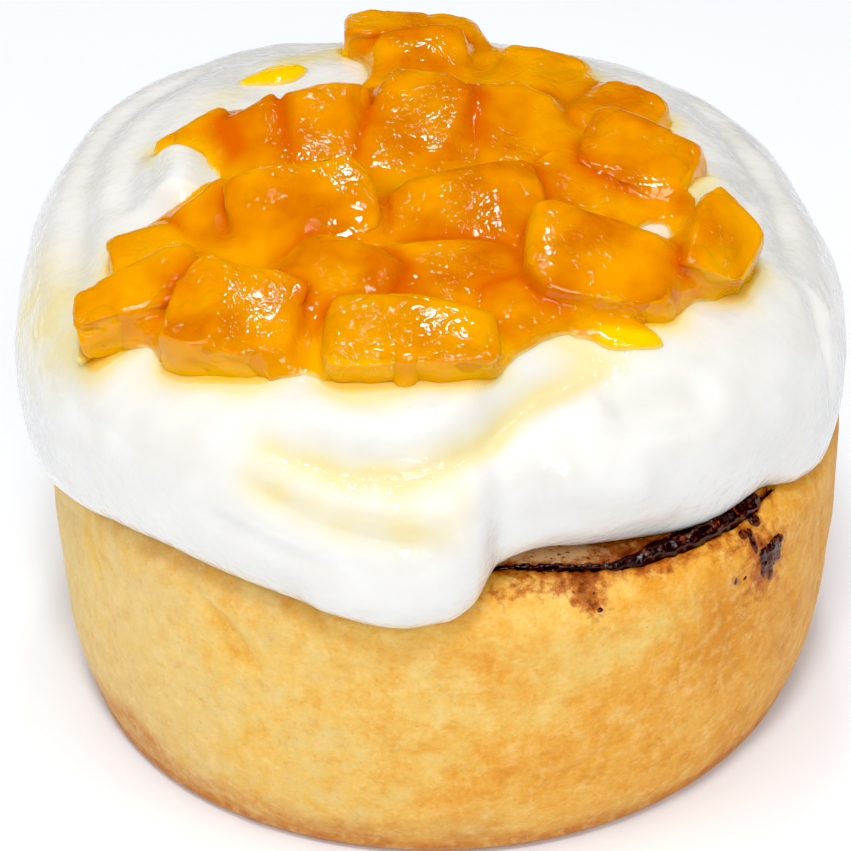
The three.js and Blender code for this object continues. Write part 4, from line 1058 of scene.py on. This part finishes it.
def baked_crust():
    """Enriched dough, baked pale: a soft matt skin, straw to golden, baked darker where it touched the ring,
    with painted shade in its creases, at its left foot and in its pinholes.
    """
    material, tree, shader, place = new_material("baked_enriched_dough")
    toast_and_crease_shade, browned_and_shaded, stain, speckled = (
        add(tree, MASK, {"attribute_name": name}, out="Fac")
        for name in ("toast_and_crease_shade", "browned_and_shaded", "cinnamon", "speckled")
    )
    mottle = add(tree, NOISE, {"Scale": per_mm(2.4), "Detail": 5.0, "Roughness": 0.62}, place)
    fine = add(tree, NOISE, {"Scale": per_mm(0.7), "Detail": 3.0, "Roughness": 0.6}, place)
    tone = toast_and_crease_shade
    for texture, sway in ((mottle, 0.17), (fine, 0.12)):
        shift = add(tree, RANGE, {LOW: 0.3, HIGH: 0.7, TO_LOW: -sway, TO_HIGH: sway}, {"Value": texture})
        tone = add(tree, MATH, {"operation": "ADD"}, {0: tone, 1: shift})
    ramp = add(tree, "ShaderNodeValToRGB", links={0: tone}, out=None)
    stops = ramp.color_ramp.elements
    stops[0].position, stops[0].color = 0.0, shade("#E8C77C")
    stops[1].position, stops[1].color = 1.0, shade("#DC9020")
    for position, colour in ((0.3, "#ECC060"), (0.6, "#EAA940")):
        stop = stops.new(position)
        stop.color = shade(colour)
    patchy = add(tree, RANGE, {LOW: 0.3, HIGH: 0.7, TO_LOW: 0.6, TO_HIGH: 1.25}, {"Value": mottle})
    # the brown layer: the baked foot, underside, streaks and tan patches, with painted shade higher on the
    # left foot
    brown = add(tree, MATH, {"operation": "MULTIPLY"}, {0: browned_and_shaded, 1: patchy})
    # painted shade of pinholes in the crust: dark dots a few tenths of a millimetre across, here and there
    pits = add(tree, CELLS, {"Scale": per_mm(1.9)}, place)
    pinhole_shade = add(tree, RANGE, {LOW: 0.10, HIGH: 0.03, TO_HIGH: 0.4}, {"Value": pits})
    rare = add(tree, NOISE, {"Scale": per_mm(5), "Detail": 1.0}, place)
    some = add(tree, RANGE, {LOW: 0.58, HIGH: 0.68}, {"Value": rare})
    pinhole_shade = add(tree, MATH, {"operation": "MULTIPLY"}, {0: pinhole_shade, 1: some})
    # floury and singed wisps
    wisps = add(tree, NOISE, {"Scale": per_mm(2.2), "Detail": 5.0, "Roughness": 0.72}, place)
    floury = add(tree, RANGE, {LOW: 0.5, HIGH: 0.68, TO_HIGH: 0.4}, {"Value": wisps})
    singed = add(tree, RANGE, {LOW: 0.46, HIGH: 0.32, TO_HIGH: 0.35}, {"Value": wisps})
    inner = add(tree, MATH, {"operation": "MULTIPLY", 1: 0.85}, {0: speckled})
    # cinnamon that soaked in, ragged by a grain of about a millimetre, and its dark specks
    grain = add(tree, NOISE, {"Scale": per_mm(1.0), "Detail": 4.0, "Roughness": 0.7}, place)
    ragged = add(tree, RANGE, {LOW: 0.35, HIGH: 0.65, TO_LOW: -0.3, TO_HIGH: 0.3}, {"Value": grain})
    soaked = add(tree, MATH, {"operation": "ADD"}, {0: stain, 1: ragged})
    light_stain = add(tree, RANGE, {LOW: 0.2, HIGH: 0.7, TO_HIGH: 0.85}, {"Value": soaked})
    dark_stain = add(tree, RANGE, {LOW: 0.7, HIGH: 1.3, TO_HIGH: 0.85}, {"Value": soaked})
    stained = add(tree, RANGE, {LOW: 0.35, HIGH: 0.8}, {"Value": stain})
    dotted = add(tree, MATH, {"operation": "MAXIMUM"}, {0: speckled, 1: stained})
    dots = add(tree, CELLS, {"Scale": per_mm(0.8)}, place)
    reach = add(tree, RANGE, {LOW: 0.0, HIGH: 0.5}, {"Value": dots})
    shrink = add(tree, RANGE, {LOW: 0.42, HIGH: 0.62, TO_LOW: -0.25, TO_HIGH: 0.4}, {"Value": grain})
    uneven = add(tree, MATH, {"operation": "SUBTRACT"}, {0: reach, 1: shrink})
    dot = add(tree, RANGE, {LOW: 0.3, HIGH: 0.1, TO_HIGH: 0.85}, {"Value": uneven})
    dot = add(tree, MATH, {"operation": "MULTIPLY"}, {0: dot, 1: dotted})
    colour = ramp.outputs[0]
    for amount, tint in ((brown, "#C67A34"), (pinhole_shade, "#9A6530"), (floury, "#F9DB94"), (singed, "#D98F36"),
                         (inner, "#F8C896"), (light_stain, "#B85C1E"), (dark_stain, "#66220A"),
                         (dot, "#54200F")):
        layer = {"data_type": "RGBA", OVER: shade(tint)}
        colour = add(tree, MIX, layer, {SHARE: amount, UNDER: colour}, BLENDED)
    tree.links.new(colour, shader.inputs["Base Color"])
    set_finish(shader, Roughness=0.56, IOR=1.42, Specular_IOR_Level=0.32,
               Subsurface_Weight=0.3, Subsurface_Radius=in_metres(1.6, 0.8, 0.35), Subsurface_Scale=1.0)
    squat = add(tree, "ShaderNodeMapping", {"Scale": (1.0, 1.0, 2.2)}, place)
    skin = add(tree, NOISE, {"Scale": per_mm(0.9), "Detail": 4.0, "Roughness": 0.65}, {"Vector": squat})
    bump = add(tree, BUMP, {"Strength": 0.55, "Distance": 0.22 * MM}, {"Height": skin})
    tree.links.new(bump, shader.inputs["Normal"])
    return material


def cinnamon_paste():
    """Sugar, butter and cinnamon boiled to a dark tacky paste: almost black, wet, with glinting grains."""
    material, tree, shader, place = new_material("baked_cinnamon_sugar_paste")
    crust = add(tree, MASK, {"attribute_name": "crust"}, out="Fac")
    grain = add(tree, NOISE, {"Scale": per_mm(0.6), "Detail": 2.0, "Roughness": 0.6}, place)
    patch = add(tree, NOISE, {"Scale": per_mm(2.2), "Detail": 2.0}, place)
    grains = add(tree, RANGE, {LOW: 0.52, HIGH: 0.66}, {"Value": grain})
    patches = add(tree, RANGE, {LOW: 0.48, HIGH: 0.66}, {"Value": patch})
    tan = add(tree, MATH, {"operation": "MULTIPLY"}, {0: grains, 1: patches})
    # where it dried thin on the wall it is redder
    dry = add(tree, RANGE, {LOW: 0.42, HIGH: 0.64, TO_HIGH: 0.6}, {"Value": grain})
    dry = add(tree, MATH, {"operation": "MULTIPLY"}, {0: crust, 1: dry})
    tan = add(tree, MATH, {"operation": "ADD"}, {0: tan, 1: dry})
    tints = {UNDER: shade("#240C08"), OVER: shade("#8A3C1C")}
    colour = add(tree, MIX, {"data_type": "RGBA", **tints}, {SHARE: tan}, BLENDED)
    tree.links.new(colour, shader.inputs["Base Color"])
    rough = add(tree, RANGE, {LOW: 0.35, HIGH: 0.7, TO_LOW: 0.22, TO_HIGH: 0.5}, {"Value": grain})
    tree.links.new(rough, shader.inputs["Roughness"])
    set_finish(shader, IOR=1.47, Specular_IOR_Level=0.35, Coat_Weight=0.25, Coat_Roughness=0.05)
    bump = add(tree, BUMP, {"Strength": 0.8, "Distance": 0.25 * MM}, {"Height": grain})
    tree.links.new(bump, shader.inputs["Normal"])
    return material


def whipped_cream():
    """Cream whipped to soft folds: white right through, a wet satin skin, yellow syrup in its hollows."""
    material, tree, shader, place = new_material("whipped_cream")
    hollow, syrup = (add(tree, MASK, {"attribute_name": name}, out="Fac") for name in ("hollow", "syrup"))
    cloud = add(tree, NOISE, {"Scale": per_mm(6), "Detail": 1.0}, place)
    cloudy = add(tree, RANGE, {LOW: 0.3, HIGH: 0.7}, {"Value": cloud})
    # painted shade: the cream darker and warmer down in its folds
    deep = add(tree, RANGE, {LOW: 0.1, HIGH: 1.0, TO_HIGH: 0.5}, {"Value": hollow})
    soaked = add(tree, RANGE, {LOW: 0.02, HIGH: 0.42, TO_HIGH: 0.9}, {"Value": syrup})
    pooled = add(tree, RANGE, {LOW: 0.6, HIGH: 1.0}, {"Value": syrup})
    tints = {UNDER: shade("#EAE9E5"), OVER: shade("#E4E2DC")}
    colour = add(tree, MIX, {"data_type": "RGBA", **tints}, {SHARE: cloudy}, BLENDED)
    for amount, tint in ((deep, "#E6E1D2"), (soaked, "#EADCA2"), (pooled, "#F5C022")):
        layer = {"data_type": "RGBA", OVER: shade(tint)}
        colour = add(tree, MIX, layer, {SHARE: amount, UNDER: colour}, BLENDED)
    tree.links.new(colour, shader.inputs["Base Color"])
    set_finish(shader, Roughness=0.5, IOR=1.45, Coat_Weight=0.8, Coat_Roughness=0.08,
               Subsurface_Weight=0.6, Subsurface_Radius=in_metres(1.6, 1.3, 1.0), Subsurface_Scale=1.0)
    film = add(tree, NOISE, {"Scale": per_mm(1.4), "Detail": 1.0}, place)
    wet = add(tree, BUMP, {"Distance": 0.26 * MM}, {"Height": film})
    tree.links.new(wet, shader.inputs["Coat Normal"])
    return material


def glazed_fruit():
    """Soft stewed fruit in set clear glaze: glowing orange flesh with faint fibres, yellow where it is thin,
    and a wet wavering gloss that breaks into curls along the edges."""
    material, tree, shader, place = new_material("stewed_fruit_in_clear_glaze")
    yellow, crevice, syrup, thin, edge = (
        add(tree, MASK, {"attribute_name": name}, out="Fac")
        for name in ("yellow", "crevice", "syrup", "thin", "edge")
    )
    flesh = add(tree, NOISE, {"Scale": per_mm(6.5), "Detail": 2.0, "Roughness": 0.5}, place)
    lighter = add(tree, RANGE, {LOW: 0.34, HIGH: 0.66}, {"Value": flesh})
    fibrous = {"Scale": per_mm(1.6), "Detail": 2.0, "Roughness": 0.6, "Distortion": 1.2}
    fibres = add(tree, NOISE, fibrous, place)
    stringy = add(tree, RANGE, {LOW: 0.3, HIGH: 0.75, TO_HIGH: 0.35}, {"Value": fibres})
    # painted shade: a deeper orange in the crevices between chunks
    deep = add(tree, RANGE, {LOW: 0.12, HIGH: 1.0, TO_HIGH: 0.9}, {"Value": crevice})
    tints = {UNDER: shade("#C86604"), OVER: shade("#E8980A")}
    colour = add(tree, MIX, {"data_type": "RGBA", **tints}, {SHARE: lighter}, BLENDED)
    for amount, tint in ((stringy, "#DA8808"), (yellow, "#F0AE0A"), (deep, "#CE5C04"), (syrup, "#F8C414"),
                         (thin, "#F4DC84")):
        layer = {"data_type": "RGBA", OVER: shade(tint)}
        colour = add(tree, MIX, layer, {SHARE: amount, UNDER: colour}, BLENDED)
    tree.links.new(colour, shader.inputs["Base Color"])
    # the flesh bends light as the glaze does, so only the glaze's own skin shines
    set_finish(shader, Roughness=0.4, IOR=1.35, Specular_IOR_Level=0.0,
               Coat_Weight=1.0, Coat_Roughness=0.04, Coat_IOR=1.42,
               Subsurface_Weight=0.4, Subsurface_Radius=in_metres(1.0, 0.55, 0.2), Subsurface_Scale=1.0)
    wavering = {"Scale": per_mm(2.0), "Detail": 1.0, "Roughness": 0.5, "Distortion": 1.6}
    waves = add(tree, NOISE, wavering, place)
    curls = add(tree, NOISE, {"Scale": per_mm(1.0), "Detail": 0.0, "Distortion": 1.5}, place)
    curls = add(tree, MATH, {"operation": "MULTIPLY", 1: 0.22}, {0: curls})
    skin = add(tree, MATH, {"operation": "ADD"}, {0: waves, 1: curls})
    # calm and lively stretches of glaze, livelier along the edges of a chunk
    calm = add(tree, NOISE, {"Scale": per_mm(5), "Detail": 1.0}, place)
    lively = add(tree, RANGE, {LOW: 0.48, HIGH: 0.64, TO_LOW: 0.06, TO_HIGH: 0.8}, {"Value": calm})
    edge = add(tree, MATH, {"operation": "MULTIPLY", 1: 0.4}, {0: edge})
    lively = add(tree, MATH, {"operation": "ADD", "use_clamp": True}, {0: lively, 1: edge})
    bump = add(tree, BUMP, {"Distance": 0.6 * MM}, {"Height": skin, "Strength": lively})
    soft = add(tree, BUMP, {"Strength": 0.4, "Distance": 0.2 * MM}, {"Height": fibres})
    tree.links.new(soft, shader.inputs["Normal"])
    tree.links.new(bump, shader.inputs["Coat Normal"])
    return material


def studio_floor():
    """White card under soft light."""
    material, tree, shader, place = new_material("white_card")
    tooth = add(tree, NOISE, {"Scale": per_mm(40), "Detail": 0.0}, place)
    tints = {UNDER: shade("#F4F8FE"), OVER: shade("#F2F6FD")}
    colour = add(tree, MIX, {"data_type": "RGBA", **tints}, {SHARE: tooth}, BLENDED)
    tree.links.new(colour, shader.inputs["Base Color"])
    set_finish(shader, Roughness=0.9, Specular_IOR_Level=0.1)
    return material


# ---------------------------------------------------------------- the food


def dress(piece, material, slot, *nodes):
    piece.data.materials.append(material)
    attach(piece, "root")
    if nodes:
        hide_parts(*nodes)


def food():
    paste, flesh = cinnamon_paste(), glazed_fruit()
    dress(bread_piece(), baked_crust(), "baked_dough", "dough")
    dress(filling_piece(), paste, "cinnamon_paste", "cinnamon_filling")
    dress(spill_piece(), paste, "cinnamon_paste")
    cream, bearing, skin = cream_piece()
    dress(cream, whipped_cream(), "whipped_cream", "cream")
    cream_top = cream_height(bearing, skin)
    cube, faces = dice_lattice(CHUNK_SQUARES)
    for number in range(len(FRUIT)):
        name = f"fruit_piece_{number + 1:02d}"
        dress(chunk_piece(number, cube, faces, cream_top), flesh, "glazed_fruit", name)
    dress(glaze_piece(cream_top), flesh, "glazed_fruit")


# ---------------------------------------------------------------- studio

CAMERA_HEIGHT_ANGLE = 36  # degrees above the horizon
CAMERA_AWAY = 420  # mm from what it looks at
LOOKS_AT = Vector((-2.2, 0, 31.5))  # mm
PICTURE_PIXELS = 851
PIXELS_PER_MM = 7.8  # where it looks
SENSOR = 36
FLOOR_SIDE = 6.0  # metres
SKY = 0.34  # light from all round
BLACK_LEVEL = 0.014


def camera():
    angle = math.radians(CAMERA_HEIGHT_ANGLE)
    away = Vector((0, -math.cos(angle), math.sin(angle)))
    lens = bpy.data.cameras.new("camera")
    lens.sensor_width = SENSOR
    lens.lens = PIXELS_PER_MM * CAMERA_AWAY * SENSOR / PICTURE_PIXELS
    lens.clip_start, lens.clip_end = 0.01, 20
    stand = bpy.data.objects.new("camera", lens)
    stand.location = (LOOKS_AT + away * CAMERA_AWAY) * MM
    stand.rotation_mode = "QUATERNION"
    stand.rotation_quaternion = (-away).to_track_quat("-Z", "Y")
    bpy.context.scene.collection.objects.link(stand)
    bpy.context.scene.camera = stand


def softbox(name, bearing, elevation, distance, size, power, mirrored=True):
    """A square soft light in metres, turned to the middle of the food; wet skins may or may not mirror it."""
    target = Vector((0, 0, 0.04))
    a, e = math.radians(bearing), math.radians(elevation)
    way = Vector((math.sin(a) * math.cos(e), -math.cos(a) * math.cos(e), math.sin(e)))
    light = bpy.data.lights.new(name, "AREA")
    light.shape, light.size, light.energy = "SQUARE", size, power
    stand = bpy.data.objects.new(name, light)
    stand.location = target + way * distance
    stand.rotation_mode = "QUATERNION"
    stand.rotation_quaternion = (-way).to_track_quat("-Z", "Y")
    stand.visible_glossy = mirrored
    bpy.context.scene.collection.objects.link(stand)


def studio():
    reach = FLOOR_SIDE / 2 / MM
    corners = np.array([(-1, -1, 0), (1, -1, 0), (1, 1, 0), (-1, 1, 0)]) * reach
    floor = mesh_piece("floor", corners, [[0, 1, 2, 3]])
    floor.data.materials.append(studio_floor())
    world = bpy.data.worlds.new("studio")
    world.use_nodes = True
    background = next(node for node in world.node_tree.nodes if node.type == "BACKGROUND")
    background.inputs["Color"].default_value = (1, 1, 1, 1)
    background.inputs["Strength"].default_value = SKY
    world.cycles_visibility.glossy = False
    bpy.context.scene.world = world
    softbox("key", 6, 40, 0.9, 0.3, 2.15)
    # small and bright, so that the wet glaze mirrors it as crisp glints
    softbox("overhead", -8, 66, 1.0, 0.16, 3.2)
    softbox("glint", 178, 72, 1.0, 0.1, 1.0)
    softbox("ceiling", -20, 82, 1.1, 0.6, 2.9, mirrored=False)
    softbox("left_fill", -75, 30, 1.1, 0.5, 1.8, mirrored=False)
    softbox("right_fill", 68, 28, 1.1, 0.5, 1.0, mirrored=False)
    view = bpy.context.scene.view_settings
    view.view_transform, view.look, view.exposure, view.gamma = "Standard", "None", 0.0, 1.0
    view.use_curve_mapping = True  # a slightly deeper black, as the photograph has
    view.curve_mapping.black_level = (BLACK_LEVEL,) * 3
    view.curve_mapping.update()


camera()
food()
studio()
